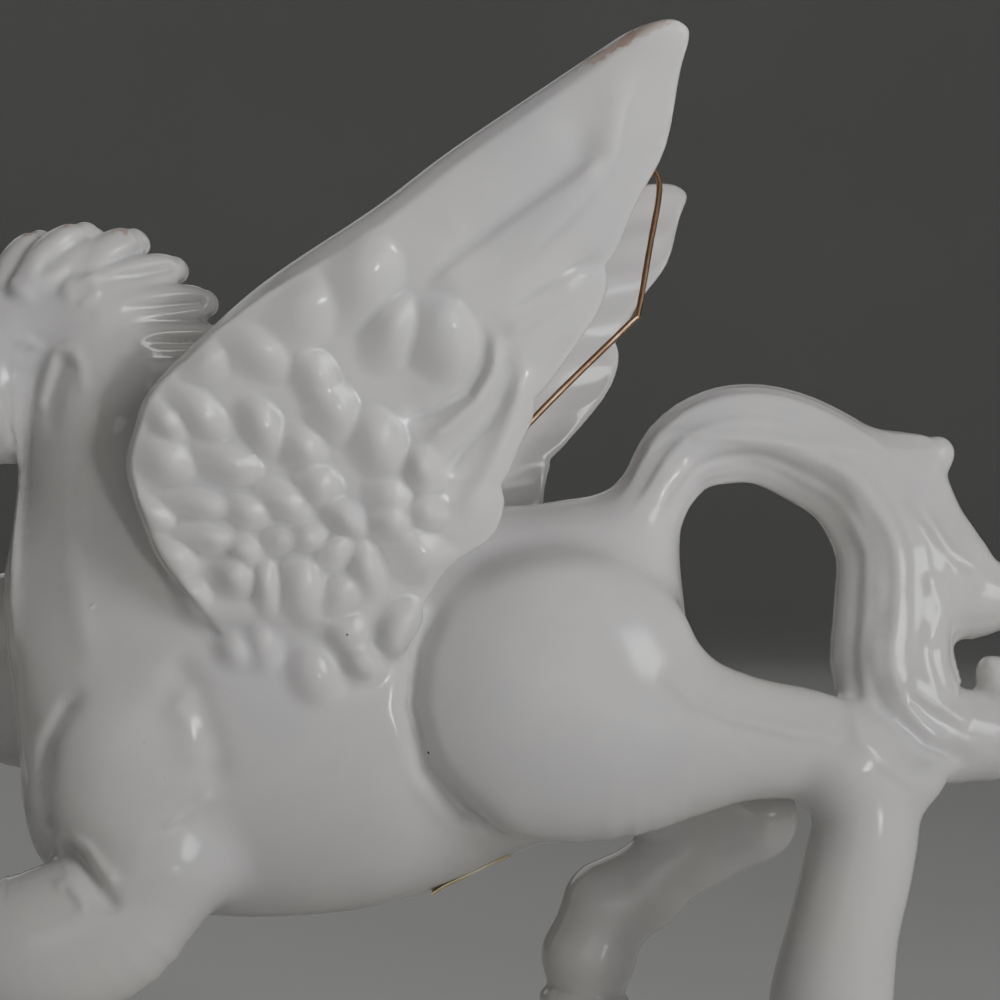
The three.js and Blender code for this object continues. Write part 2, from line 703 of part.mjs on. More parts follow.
const horse = new THREE.Group();
horse.add(
  piece("torso", torso, GLAZE),
  piece("neck", neck, GLAZE),
  piece("head", head, GLAZE),
  piece("left_ear", leftEar, GLAZE),
  piece("right_ear", rightEar, GLAZE),
  piece("forelock", forelock, GLAZE),
  piece("mane", mane, GLAZE),
  piece("left_wing", leftWing, GLAZE),
  piece("right_wing", rightWing, GLAZE),
  piece("left_foreleg", leftForeleg, GLAZE),
  piece("right_foreleg", rightForeleg, GLAZE),
  piece("left_hind_leg", leftHindLeg, GLAZE),
  piece("right_hind_leg", rightHindLeg, GLAZE),
  piece("tail", tail, GLAZE),
  piece("wire_staple", staple, COPPER),
  piece("hanging_wire", wire(hangingWirePoints()), COPPER),
  piece("belly_label", labelShape(), PAPER),
);
horse.position.z = BASE_HEIGHT + JOINT_GAP;

const figurine = new THREE.Group();
figurine.add(piece("base", plinth(), GLAZE), horse);

export default figurine;
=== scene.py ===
"""Looks of a glazed winged-horse figurine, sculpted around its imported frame.

The horse is one glazed surface. Each casting is a field that is negative inside it, the fields melt into
one another with soft fillets, and a piece is the part of that surface that lies nearest to its own casting.
Forms are in millimetres. The horse faces -X, its left side faces -Y, and z starts at the sole of the
planted hoof.
"""

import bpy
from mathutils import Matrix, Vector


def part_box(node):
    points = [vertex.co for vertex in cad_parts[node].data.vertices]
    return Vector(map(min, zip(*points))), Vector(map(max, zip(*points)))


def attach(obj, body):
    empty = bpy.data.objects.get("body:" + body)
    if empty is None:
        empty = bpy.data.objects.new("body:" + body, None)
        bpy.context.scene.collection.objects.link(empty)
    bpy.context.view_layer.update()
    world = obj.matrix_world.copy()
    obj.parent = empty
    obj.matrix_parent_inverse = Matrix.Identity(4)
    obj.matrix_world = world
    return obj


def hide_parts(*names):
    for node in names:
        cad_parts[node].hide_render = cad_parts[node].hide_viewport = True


bl_info = {
    "name": "Winged Horse Figurine",
    "version": (1, 0, 0),
    "blender": (4, 5, 0),
    "location": "View3D > Sidebar > Figurine",
    "description": "Sculpts and glazes the pieces of a winged horse figurine around its packed frame",
    "category": "Object",
}

import math
from concurrent.futures import ThreadPoolExecutor

import bpy
import numpy as np
from mathutils import Vector

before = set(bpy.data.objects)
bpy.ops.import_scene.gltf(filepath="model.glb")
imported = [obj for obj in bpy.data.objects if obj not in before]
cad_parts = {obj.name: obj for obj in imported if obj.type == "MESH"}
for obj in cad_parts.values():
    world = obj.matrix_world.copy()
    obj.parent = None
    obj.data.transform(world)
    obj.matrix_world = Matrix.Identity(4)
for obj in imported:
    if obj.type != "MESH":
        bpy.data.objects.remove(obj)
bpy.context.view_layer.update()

MM = 0.001
SOLE_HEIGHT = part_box("left_hind_leg")[0].z / MM

# The photograph's camera: level, square to the horse's left side
CAMERA_DISTANCE = 400.0
CAMERA_HEIGHT = 111.3
CAMERA_LENS = 96.0
SENSOR_WIDTH = 36.0
PHOTO_SIZE = 1000
PHOTO_SCALE = CAMERA_DISTANCE * SENSOR_WIDTH / CAMERA_LENS / PHOTO_SIZE

# The value of a field that is out of a form's reach
FAR = 1000.0

# Neighbouring pieces reach OVERLAP past the line between them. From SINK_START before that line they sink
# by SINK for each millimetre, over SINK_REACH
OVERLAP = 1.2
SINK, SINK_START, SINK_REACH = 0.014, 0.5, 4


# Forms


# The body: (x, top, bottom, half width), from the breast to the buttocks
TORSO = (
    (-72.3, 68.5, 53.5, 6),
    (-69.8, 82, 44.5, 13),
    (-63, 90, 39.3, 18),
    (-54, 95.5, 36.3, 20.5),
    (-42, 99.3, 34.8, 22),
    (-30, 100.3, 34.8, 22.5),
    (-18, 98.5, 36.3, 22),
    (-7.5, 96.5, 39.7, 20.2),
    (3, 96.1, 44.5, 18.8),
    (12, 97.3, 47.5, 18.2),
    (19.5, 97, 52, 16.8),
    (25.5, 93.3, 61, 13),
    (28.5, 86.5, 71.5, 6),
)
# How softly the body's two ends turn in, and from how far it and the neck are felt
TORSO_END, TRUNK_REACH = 6.0, 17.0
VENT_X, VENT_RADIUS, VENT_DEPTH = -24.0, 2.5, 7.0

# Limbs: (x, y, z, radius in the side view, radius across)
NECK = (
    (-42.8, 0, 73, 24, 18),
    (-49.5, 0, 89.2, 23, 16),
    (-54, 0, 103.8, 16.9, 13),
    (-57.8, 0, 115, 13.8, 11),
    (-60.8, 0, 124, 10.8, 9.5),
)
HEAD = (
    (-67.2, 0, 118, 5, 4),
    (-70.5, 0, 117.7, 10.5, 7.5),
    (-76.5, 0, 116.5, 14.2, 9.3),
    (-84, 0, 112.8, 12.6, 8.8),
    (-91.5, 0, 108.6, 9.9, 7.4),
    (-99, 0, 104.2, 7.8, 6.2),
    (-105, 0, 100.8, 6.6, 6),
)
EAR = (
    (-78.5, -4.5, 127, 2.6, 2.4),
    (-79.5, -5.8, 132, 3, 2.2),
    (-81, -6.6, 137, 2.2, 1.7),
    (-82.3, -7, 141, 0.8, 0.8),
)
# The hollow of an ear: its shift in x, stretch in y and shift in z, and its share of the ear's two radii
EAR_CUP = (-1.9, 1.16, 0.6), (0.5, 0.75)
FORELOCK = (
    (-75.5, 0, 131, 2.6, 3.2),
    (-81.5, 0, 131, 2.6, 3.2),
    (-88, 0, 126, 2.4, 2.8),
    (-93.5, 0, 121, 1, 1.4),
)
MANE_CREST = (
    (-73, 0, 130, 2.4, 3),
    (-64, 0, 133, 2.6, 3),
    (-55, 0, 130, 3, 3),
    (-47, 0, 123, 3, 3),
    (-40, 0, 113, 3, 3),
    (-31, 0, 103.5, 3, 3),
)
# The mane's locks: root on the left of the neck and tip over the crest, each (x, y, z), half width, ridges
MANE_LOCKS = (
    ((-73.5, -5, 128.5), (-68.5, -1.5, 135.5), 3.4, 1),
    ((-70, -7, 128.2), (-61.5, -3, 136), 4.2, 2),
    ((-62, -6, 130.5), (-54.5, -1.5, 135.6), 3.4, 1),
    ((-63, -7.5, 127.5), (-48.5, -1.5, 131.5), 3.2, 2),
    ((-58.5, -8, 124.5), (-44, -1.5, 126.5), 3.2, 2),
    ((-55, -8.5, 120), (-41, -1.5, 120.5), 3, 2),
    ((-51, -9, 114.5), (-35, -1.5, 113.5), 3.2, 2),
    ((-44, -10, 107), (-28, -1.5, 105.5), 3.4, 2),
)
# How a lock swells: (place from root to tip, share of its half width), and how flat it is
LOCK_SWELL = ((0, 0.6), (0.3, 0.95), (0.65, 1.02), (0.9, 0.85), (1, 0.6))
LOCK_FLATNESS = 0.85
# The hollow of a lock, for each number of ridges: (place across, half width, share of the depth)
LOCK_HOLLOWS = {1: (0.5, 0.22, 0.6), 2: (0.0, 0.3, 1.0)}
# Where along the lock its hollow comes up and runs out, and where it comes up on the way to its outer face
HOLLOW_START, HOLLOW_END, HOLLOW_SIDE = (0.05, 0.3), (1.0, 0.75), (-0.2, 0.3)
# Combed hair is a sum of waves: (share, number for each strand, number on top, turn along the lock)
HAIR_WAVES = ((1, 1, 0, 2 * math.pi), (0.35, 2, 1, -5), (0.16, 3, 4, 9))
HAIR_START, HAIR_END = (0.02, 0.12), (1.0, 0.8)

# Legs: muscles as (centre, radii), limbs, and a hoof as its coronet and its sole, each (x, y, z, radius).
# Each second number is measured outwards from the leg's own track.
HIND_TRACK = 36.0
FORE_TRACK = 31.0
LEFT_HIND_MUSCLES = (((8.2, -2, 68.4), (21.6, 11, 20.6)), ((58.5, 0, 57), (5, 5, 4)))
LEFT_HIND_LIMBS = (
    (
        (9.5, -3.5, 67, 17, 10.5),
        (18, -2, 63.6, 15, 10),
        (27.1, -0.8, 63.2, 12, 8.8),
        (35.7, 0, 62.8, 8.9, 7.5),
        (43.6, 0, 62, 7.9, 7.2),
        (49, 0, 60, 7.6, 7.4),
    ),
    (
        (51, 0, 58, 7.4, 7.2),
        (52.4, 0, 51.9, 7.6, 7.4),
        (51.2, 0, 44.1, 7.8, 7.6),
        (49.2, 0, 35.5, 7.9, 7.8),
        (47.4, 0, 25.5, 8.8, 8),
        (46.6, 0, 18.4, 8.2, 8),
        (45.4, 0, 11.2, 8, 8),
        (45, 0, 10, 7.6, 7.6),
    ),
)
LEFT_HIND_HOOF = ((44.6, 0, 8, 9.2), (44.6, 0, -0.4, 10.8))
RIGHT_HIND_MUSCLES = (
    ((9, -2.5, 66.5), (20, 10.5, 19.5)),
    ((22.6, 0, 34.2), (5.2, 5, 4.6)),
    ((13.9, 0, 26), (7, 6.6, 5.2)),
)
RIGHT_HIND_LIMBS = (
    (
        (12.5, -3, 60, 13.5, 9.5),
        (25, -1, 54.3, 9.8, 8),
        (35.2, 0, 50, 7, 6.6),
        (39.9, 0, 47.6, 6.2, 6.2),
    ),
    (
        (39.2, 0, 47, 6.2, 6),
        (31.3, 0, 42.3, 6.2, 5.8),
        (23.5, 0, 37.9, 6.1, 5.8),
        (17.8, 0, 34, 6.6, 6.2),
    ),
    (
        (16.2, 0, 33, 6.2, 6),
        (14.6, 0, 28.5, 6, 5.8),
        (14, 0, 24.5, 6.2, 6),
        (13.5, 0, 20, 5.9, 5.8),
    ),
)
RIGHT_HIND_HOOF = ((13.4, 0, 19.4, 6.7), (12.6, 0, 12.3, 8))
LEFT_FORE_MUSCLES = (((-53.6, -1, 58.1), (12.7, 9.5, 15.2)), ((-49.7, -1.5, 44.5), (10, 8.5, 9.5)))
LEFT_FORE_LIMBS = (
    (
        (-48.2, -0.5, 44.4, 8.3, 8),
        (-56.2, 0, 36.5, 11, 9),
        (-66.2, 0.5, 32.5, 11.2, 9),
        (-77.8, 0.5, 31.5, 9, 7.8),
        (-87, 0.5, 31, 7.2, 7),
    ),
    (
        (-88.1, 0.5, 30, 6.4, 6.2),
        (-85.9, 0.5, 22.3, 5.4, 5.2),
        (-82.4, 0.5, 15.6, 5.8, 5.6),
        (-79.6, 0.5, 11.6, 5.4, 5.4),
    ),
)
LEFT_FORE_HOOF = ((-79.4, 0.5, 11.4, 5.9), (-74.6, 0.5, 6.2, 7.6))
RIGHT_FORE_MUSCLES = (((-60.7, -1, 62.7), (12, 9.5, 15)),)
RIGHT_FORE_LIMBS = (
    (
        (-62, -1, 66.5, 13, 9.5),
        (-73.1, 0, 70.8, 15.5, 9.5),
        (-84, 0, 72.9, 11.8, 8.2),
        (-94.9, 0, 74, 7.8, 6.8),
        (-98, 0, 73.8, 7.2, 6.8),
    ),
    (
        (-99, 0, 72.4, 6.3, 6),
        (-98, 0, 64.3, 5.3, 5),
        (-95.7, 0, 55.7, 5.2, 5),
        (-94.2, 0, 51.1, 5.7, 5.4),
        (-92.2, 0, 46.6, 5.3, 5.3),
    ),
)
RIGHT_FORE_HOOF = ((-92, 0, 46.2, 5.9), (-88.3, 0, 40.4, 7.5))
LEGS = {
    "left_hind_leg": (LEFT_HIND_MUSCLES, LEFT_HIND_LIMBS, LEFT_HIND_HOOF, HIND_TRACK, -1),
    "right_hind_leg": (RIGHT_HIND_MUSCLES, RIGHT_HIND_LIMBS, RIGHT_HIND_HOOF, HIND_TRACK, 1),
    "left_foreleg": (LEFT_FORE_MUSCLES, LEFT_FORE_LIMBS, LEFT_FORE_HOOF, FORE_TRACK, -1),
    "right_foreleg": (RIGHT_FORE_MUSCLES, RIGHT_FORE_LIMBS, RIGHT_FORE_HOOF, FORE_TRACK, 1),
}
# The bead of glaze round the planted hoof, as (centre, radii)
HOOF_BEAD = ((44.6, -HIND_TRACK / 2, -0.6), (12.6, 12.6, 1.5))
# The raised band at a coronet, how far above the coronet a hoof starts, and its soft edges
BAND_HEIGHT, BAND_PLACE, BAND_BREADTH = 0.35, 0.6, 0.8
HOOF_TOP, HOOF_EDGE = 0.5, 1.0

# The tail: an arch that falls to the left hock, its flicks with the web between the first two, and a curl
TAIL_ARCH = (
    (19, 0, 90.3, 5, 8),
    (22.9, 0, 97.7, 5.2, 8),
    (27.2, 0, 103.7, 6.3, 8),
    (32.6, 0, 106.4, 7.2, 8),
    (39, 0, 106.8, 7.5, 8),
    (46.2, 0, 104.2, 7.8, 8.2),
    (53.4, -2, 99, 7.8, 8.5),
    (57.8, -5, 89.9, 8.1, 8.8),
    (57.8, -8, 80.1, 8.7, 8.8),
    (57.8, -10, 71.9, 8.9, 8.4),
    (62.5, -10.5, 63.9, 7.8, 7.6),
    (71, -10, 62.2, 6.2, 6.6),
)
TAIL_FLICKS = (
    (
        (56, -2, 102.2, 5, 5),
        (60.5, -2.2, 102.6, 4.5, 4.4),
        (63.4, -2.4, 103.3, 3.6, 3.4),
        (65.1, -2.4, 103.9, 2.6, 2.6),
    ),
    ((59.8, -3, 98.5, 6.8, 6), (62.5, -4, 92.5, 6.6, 6), (66.5, -5.5, 87.5, 6, 6)),
    (
        (60, -6, 86, 8, 7),
        (68.2, -6, 83, 6.6, 5.6),
        (74.7, -6, 82.5, 4.5, 4.4),
        (80.8, -6, 81.5, 2.8, 3),
        (85.2, -6, 82.2, 1, 1.4),
    ),
    ((78, -9, 62.5, 4.4, 4.6), (85, -8.5, 65, 2.6, 2.8), (89, -8, 68, 0.9, 1.2)),
)
TAIL_CURL = ((77.4, -9, 67.4), (6.9, 5, 6.9))
TAIL_CURL_TIP = ((71.9, -9, 71.9), (2, 3.5, 2.2))

# Wings: (height, leading edge, trailing edge, half thickness), from the lowest feather to the tip
WING = (
    (68.2, -28, -24, 1.6),
    (71, -31.5, -21, 2.3),
    (74, -35.5, -17.5, 2.8),
    (79.4, -41.5, -12.5, 3.4),
    (87.1, -47.7, -7.5, 3.6),
    (92.5, -50.3, -0.6, 3.6),
    (101.2, -52.8, 1.5, 3.4),
    (107, -51.5, 4, 3.2),
    (113, -48.7, 6.8, 3.1),
    (123.4, -37.7, 13.8, 2.9),
    (129.2, -30.1, 15.4, 2.7),
    (137.2, -17.3, 18.5, 2.5),
    (144.7, -6.7, 22.4, 2.3),
    (153.9, 8, 24, 2),
    (158.5, 15.5, 25.1, 1.6),
    (160.7, 19.5, 24.2, 1),
)
WING_ROOT = (-20.0, 21.3, 82.0)
# Below LOBE_HEIGHT the feathers are loose lobes on the body, LOBE_HALF thick to each side, and the sheet
# runs out at SHEET_FOOT
LOBE_HEIGHT, LOBE_HALF = 82.0, 3.3
SHEET_FOOT = 75.5
# Higher up, a wing's leading edge curls in towards the body by LEAD_CURL, over a band of LEAD_BAND
LEAD_CURL, LEAD_BAND = 2.0, 6.0
CURL_HEIGHTS, CURL_LIMIT = (112, 130), 1.2
# The half thickness at an edge, and its growth for each millimetre inwards. Low on the wing the bevel of
# the leading edge is steeper by LOW_BEVEL.
TRAIL_TAPER = 0.75, 0.22
FOOT_TAPER = 0.4, 0.6
LEAD_ROUND = 1.2, 1.1
LEAD_BEVEL, LOW_BEVEL = (0.3, 0.8), 1.6
LEAST_BEVEL, LEAST_ROUND = 0.2, 0.5
BEVEL_HEIGHTS = 131, 115
# How softly the faces turn into the edges, and the edges into one another
EDGE_FILLET, CORNER_ROUND = 0.6, 1.0
# How far from the edges the relief comes up, and how far from the wing's middle surface it is worked out
RELIEF_MARGIN, RELIEF_REACH = 1.6, 9.0
# How far a wing spreads outwards to its tip, and how late, then how the right one is turned at its root
WING_FLARE, WING_FLARE_POWER = 27.0, 2.2
RIGHT_WING_SWEEP, RIGHT_WING_LEAN = math.radians(5.4), math.radians(9.2)
# Heights of the notches in the trailing edges, and their depth and half height
LEFT_WING_NOTCHES = 129.4, 111.2, 99.0
RIGHT_WING_NOTCHES = 129.4, 107.0
NOTCH_DEPTH, NOTCH_HALF = 0.9, 1.3
# How much further back than WING says the right wing's trailing edge is: (height, extra)
RIGHT_WING_FULLNESS = (
    (99.9, 4.3),
    (104.4, 2.9),
    (108.4, 2.7),
    (113.9, 3.6),
    (119.4, 3.0),
    (124.6, 1.1),
    (129, 0),
)

# Feathers on a wing's outer face, in the photograph's pixels: centre, half length, half width, then the
# long axis' tilt in degrees, the height in millimetres and, if it isn't a cushion, how flat the top is
FEATHERS = (
    (441, 341, 37, 31, -70, 2.3, 2.3),
    (391, 336, 36, 25, 62, 1.9),
    (362, 288, 42, 31, 52, 1.9),
    (302, 322, 42, 28, 42, 1.5),
    (258, 354, 34, 23, -25, 1.4),
    (316, 380, 31, 21, -60, 1.5),
    (206, 366, 24, 18, 30, 1.1),
    (200, 414, 33, 18, -45, 1.4),
    (168, 424, 24, 14, -52, 1.2),
    (165, 461, 29, 21, -25, 1.5),
    (228, 464, 33, 19, -20, 1.5),
    (263, 427, 30, 19, -60, 1.6),
    (302, 449, 26, 20, -40, 1.6),
    (333, 413, 30, 24, -60, 1.7),
    (376, 443, 33, 26, -60, 2.0),
    (282, 501, 30, 18, -30, 1.5),
    (318, 486, 25, 20, -45, 1.5),
    (200, 504, 33, 16, -10, 1.4),
    (245, 511, 25, 17, -20, 1.5),
    (150, 512, 27, 14, -35, 1.2),
    (208, 537, 33, 16, -10, 1.4),
    (172, 556, 27, 17, -35, 1.5),
    (245, 550, 19, 16, -45, 1.7),
    (280, 541, 21, 15, 10, 1.3),
    (306, 539, 19, 16, 0, 1.6),
    (344, 517, 24, 15, -40, 1.7),
    (423, 471, 24, 18, -70, 2.0),
    (389, 500, 26, 20, -50, 1.2),
    (390, 523, 23, 18, -20, 1.6),
    (425, 513, 19, 17, 0, 1.7),
    (415, 556, 38, 24, -18, 1.9),
    (367, 569, 25, 17, -75, 1.8),
    (333, 553, 21, 15, 20, 1.5),
    (235, 576, 21, 18, -30, 1.8),
    (190, 590, 22, 14, -30, 1.3),
    (208, 607, 27, 17, -25, 1.6),
    (267, 586, 27, 14, -85, 1.4),
    (302, 587, 32, 22, -80, 1.7),
    (340, 595, 22, 17, 30, 1.3),
    (236, 648, 22, 17, -60, 1.5),
    (264, 642, 31, 18, -80, 1.7),
    (313, 672, 34, 24, -65, 1.9),
    (348, 632, 27, 22, -50, 1.7),
    (362, 660, 21, 17, -40, 1.5),
    (401, 628, 30, 25, 60, 1.8),
)
# A feather's mound runs out at FEATHER_REACH of its outline, and its height leans towards the wing's tip
FEATHER_REACH, FEATHER_FALL = 1.33, 1.7
FEATHER_LEAN = 1.1, 0.4
TIP_DIRECTION = 0.94, 0.34
# Soft ribs on a wing's inner face: height, spacing, slant, and the x between which they come up
RIB_HEIGHT, RIB_SPACING, RIB_SLANT = 0.28, 7.5, 0.35
RIB_RISE = -30, -5

# Lines on a wing's outer face, in the photograph's pixels: points, half width and height in millimetres,
# and, if it isn't even, how many times wider the line is to the left of its path
FEATHER_LINES = (
    (((424, 304), (454, 313), (471, 338), (463, 366), (440, 384), (404, 392)), 1.6, 0.4),
    (((484, 318), (484, 360), (466, 392), (434, 412), (400, 420)), 1.2, -1.1),
    (((496, 330), (495, 374), (478, 402), (450, 428), (420, 444)), 1.2, 1.3),
    (((510, 342), (507, 386), (488, 422), (462, 450), (442, 476)), 1.4, -1.1),
    (((524, 352), (517, 405), (500, 448), (480, 488), (456, 522)), 1.6, 1.1),
    (((440, 268), (500, 222), (560, 176), (604, 138)), 2.4, -0.8),
    (((604, 160), (580, 181), (515, 227), (458, 269), (428, 292)), 0.9, 0.8, 5),
    (((430, 240), (480, 205), (530, 165), (580, 122)), 4.0, 0.5),
    (((505, 285), (539, 247), (575, 214), (596, 190), (612, 155), (621, 108), (636, 73)), 0.6, 0.75, 5),
    (((520, 300), (552, 262), (590, 222), (622, 172)), 2.4, -0.4),
    (((500, 318), (545, 290), (575, 268), (606, 252)), 1.0, -0.5),
    (((502, 342), (545, 312), (586, 280)), 0.7, 0.6, 4),
    (((508, 382), (540, 358), (575, 330)), 1.5, -0.45),
)

# Lines on the near side, in the photograph's pixels: points, y of the surface there, half width and height
SIDE_LINES = (
    (((92, 688), (66, 712), (48, 745), (40, 790), (45, 825), (60, 838)), -20, 1.5, -1.1),
    (((166, 655), (195, 688), (212, 740), (220, 795)), -22, 2.2, -0.7),
    (((176, 690), (194, 720), (203, 775)), -22, 2.6, 0.5),
    (((160, 828), (190, 812), (216, 791)), -22, 0.7, 0.4),
    (((62, 836), (85, 848), (102, 868), (122, 884)), -22, 0.9, 0.5),
    (((52, 842), (80, 862), (100, 888), (125, 912)), -22, 1.2, -0.8),
    (((52, 888), (66, 881), (82, 896), (90, 912)), -22, 0.8, 0.4),
    (((16, 640), (13, 700), (19, 750), (32, 800)), -10, 1.4, -0.7),
    (((448, 592), (418, 645), (411, 705), (428, 768), (465, 815), (510, 845)), -20, 1.7, -1.9),
    (((655, 665), (690, 699), (735, 716), (800, 732), (855, 735)), -22, 1.0, 0.55),
    (((848, 690), (855, 735), (885, 765), (925, 790)), -20, 1.0, 0.4),
    (((640, 452), (668, 432), (720, 436), (770, 443), (840, 446), (900, 462)), -8, 1.0, 0.55),
    (((660, 470), (700, 455), (760, 458), (820, 476), (860, 505)), -8, 1.6, -0.5),
    (((905, 490), (925, 520), (950, 552), (995, 584)), -10, 1.0, 0.6),
    (((862, 500), (884, 540), (888, 590), (868, 650)), -14, 1.8, -0.6),
    (((930, 565), (940, 610), (928, 650)), -14, 1.2, 0.5),
    (((900, 680), (936, 704), (972, 726)), -16, 1.1, 0.5),
    (((868, 660), (885, 710), (925, 745), (980, 760)), -16, 1.6, -0.6),
    (((12, 345), (28, 341), (39, 348), (28, 360), (10, 369)), -8, 0.9, 0.35),
    (((78, 280), (92, 278), (97, 292), (88, 303), (76, 304)), -8, 0.8, 0.45),
    (((90, 400), (108, 410), (126, 424)), -12, 1.6, 0.4),
    (((66, 344), (55, 353), (46, 376), (39, 398), (33, 414)), -9, 0.8, 0.5),
    (((72, 354), (62, 372), (54, 400), (50, 440)), -9, 1.5, -0.8),
    (((58, 346), (74, 350), (82, 370), (86, 400)), -10, 1.0, 0.5),
    (((86, 380), (76, 430), (72, 490), (76, 560), (88, 620), (112, 670)), -12, 2.4, 0.5),
)

# Lines on both sides of the head, in millimetres: points (x, z), half width and height
HEAD_LINES = (
    (((-112, 97.8), (-106, 98.2), (-101.5, 100.2)), 0.7, -0.9),
    (((-89, 113), (-94, 110), (-99, 106.5)), 1.2, 0.4),
    (((-88.5, 121), (-85.6, 121.6), (-82.6, 120)), 0.8, 0.55),
    (((-88.3, 117.2), (-85.4, 116.4), (-82.8, 117.4)), 0.6, 0.35),
)
# A line is felt up to LINE_REACH half widths away, and runs out over LINE_TAPER of its length at each end
LINE_REACH, LINE_TAPER = 3, 0.2
# The distances from the middle plane between which the lines come up, on the near side and on the head
NEAR_SIDE, HEAD_SIDES = (1, 6), (1, 3)
POLL = ((-70, 0, 123.5), (9, 8.6, 8))
EYE = ((-85.5, 7.4, 118.9), (2.5, 1.6, 2.0))
NOSTRIL = ((-106.8, 4.9, 103.4), (1.8, 1.6, 1.2))
# How softly what is cut into a form meets its surface
CUT_EDGE = 0.6

# The copper wires
WIRE_DIAMETER, WIRE_SIDES = 1.0, 14
WIRE_EYE_RADIUS, WIRE_EYE_TURNS = 1.9, 0.72
# How far round from the shank the two eyes start, and how many radii past its end the upper one's middle is
LOWER_EYE_START, UPPER_EYE_START, UPPER_EYE_AWAY = 1.4, 0.5, 1.6
STAPLE_BAR = (-5.0, 0.0, 99.513)
STAPLE_HALF_SPAN = 2.6
STAPLE_FOOT, STAPLE_LEG = 92.4, 3.0
WIRE_SHANK = (
    (13, 8, 12.9),
    (25.2, 15.5, 25),
    (26.6, 16.5, 26.9),
    (28.6, 22, 37),
    (30.6, 28, 47.4),
    (29.6, 29.5, 51),
)

# The paper label under the belly
LABEL_FRONT, LABEL_LENGTH = -10.5, 12.0
LABEL_ARC = math.radians(-13), math.radians(25)
LABEL_THICKNESS, LABEL_STEPS = 0.25, 28
# The paste under it, how far its front edge lifts, and how sharply it curls up there
LABEL_PASTE, LABEL_LIFT, LABEL_CURL = 0.05, 0.6, 8

# The plinth: its rounded top edge and foot, its rim, then the hollowed underside as (shrink towards the
# middle, height), the shrinks of its top, and how far and between which heights its foot is wiped bare
PLINTH_EDGE, PLINTH_FOOT, PLINTH_RIM = 5.0, 1.2, 6.0
PLINTH_SIDES, ROUNDING_STEPS = 192, 13
PLINTH_UNDERSIDE = ((0.004, 1.0), (0.5, 1.0), (0.9, 0.9), (0.96, 0.5), (1, 0))
PLINTH_TOP = 0.97, 0.9, 0.7, 0.4, 0.1, 0.004
WIPED, WIPED_HEIGHTS = 0.8, (1.8, 0.6)

# Where the glaze is worn through, in the photograph's pixels: points, half width in millimetres, strength
WORN = {
    "left_wing": ((((572, 72), (600, 54), (630, 36), (656, 23), (690, 18)), 1.1, 0.8),),
    "mane": (
        (((24, 238), (44, 230)), 0.9, 0.6),
        (((60, 232), (84, 227)), 0.9, 0.6),
        (((112, 231), (136, 236)), 1.0, 0.6),
    ),
}

# The studio, in metres: the floor's upturned edge, and each softbox's place, aim and size, with its spread
# in degrees
FLOOR_BEND, FLOOR_HEIGHT = 1.0, 2.6
FLOOR_SIDES, FLOOR_STEPS, FLOOR_PINHOLE = 96, 17, 0.002
MIDDLE = (0.0, 0.0, 0.1)
SOFTBOXES = {
    "key": ((0.66, -0.62, 0.42), MIDDLE, (0.36, 0.46), 180),
    "top": ((0.15, -0.1, 0.95), MIDDLE, (0.6, 0.5), 180),
    "fill": ((0.0, -0.9, 0.17), (0.0, 0.0, 0.15), (0.7, 0.3), 180),
    "wing": ((0.3, -0.62, 0.08), (0.015, -0.035, 0.155), (0.12, 0.12), 16),
    "back": ((-0.4, 1.1, 0.7), MIDDLE, (1.0, 0.7), 180),
    "head": ((-1.0, 0.0, 0.5), MIDDLE, (0.9, 0.7), 180),
}


# Fields: functions of an array of points, three rows of numbers, negative inside a form


def smooth_rows(rows, per_span):
    """Rows of numbers, drawn through smoothly, with per_span rows for each listed one."""
    rows = np.array(rows, float)
    padded = np.vstack([2 * rows[0] - rows[1], rows, 2 * rows[-1] - rows[-2]])
    t = np.arange(per_span)[:, None, None] / per_span
    a, b, c, d = (padded[i : i + len(rows) - 1] for i in range(4))
    fine = b + 0.5 * t * (c - a + t * (2 * a - 5 * b + 4 * c - d + t * (3 * (b - c) + d - a)))
    return np.vstack([fine.transpose(1, 0, 2).reshape(-1, rows.shape[1]), rows[-1]])


def unit(vectors):
    return vectors / np.linalg.norm(vectors, axis=-1, keepdims=True)


def melt(a, b, fillet):
    """The union of two fields, with a soft fillet between them."""
    mix = np.maximum(fillet - np.abs(a - b), 0) / fillet
    return np.minimum(a, b) - mix * mix * (fillet / 4)


def pare(a, b, edge):
    """What two fields have in common, with a soft edge."""
    return -melt(-a, -b, edge)


def oval_distance(offsets, radii):
    """Rough distance to an ellipse or ellipsoid, from offsets along its axes."""
    scaled = [offset / radius for offset, radius in zip(offsets, radii)]
    inner = np.sqrt(sum(value * value for value in scaled))
    outer = np.sqrt(sum((value / radius) ** 2 for value, radius in zip(scaled, radii)))
    return np.maximum(inner, 1e-3) * (inner - 1) / np.maximum(outer, 1e-4)


def ramp(value, start, end):
    """A smooth rise from 0 at start to 1 at end."""
    t = np.clip((value - start) / (end - start), 0, 1)
    return t * t * (3 - 2 * t)


class Ball:
    """A swollen muscle: an ellipsoid."""

    def __init__(self, centre, radii):
        self.centre, self.radii = np.array(centre, np.float32), np.array(radii, np.float32)
        self.low, self.high = self.centre - self.radii, self.centre + self.radii

    def __call__(self, points):
        return oval_distance(points - self.centre[:, None], self.radii)


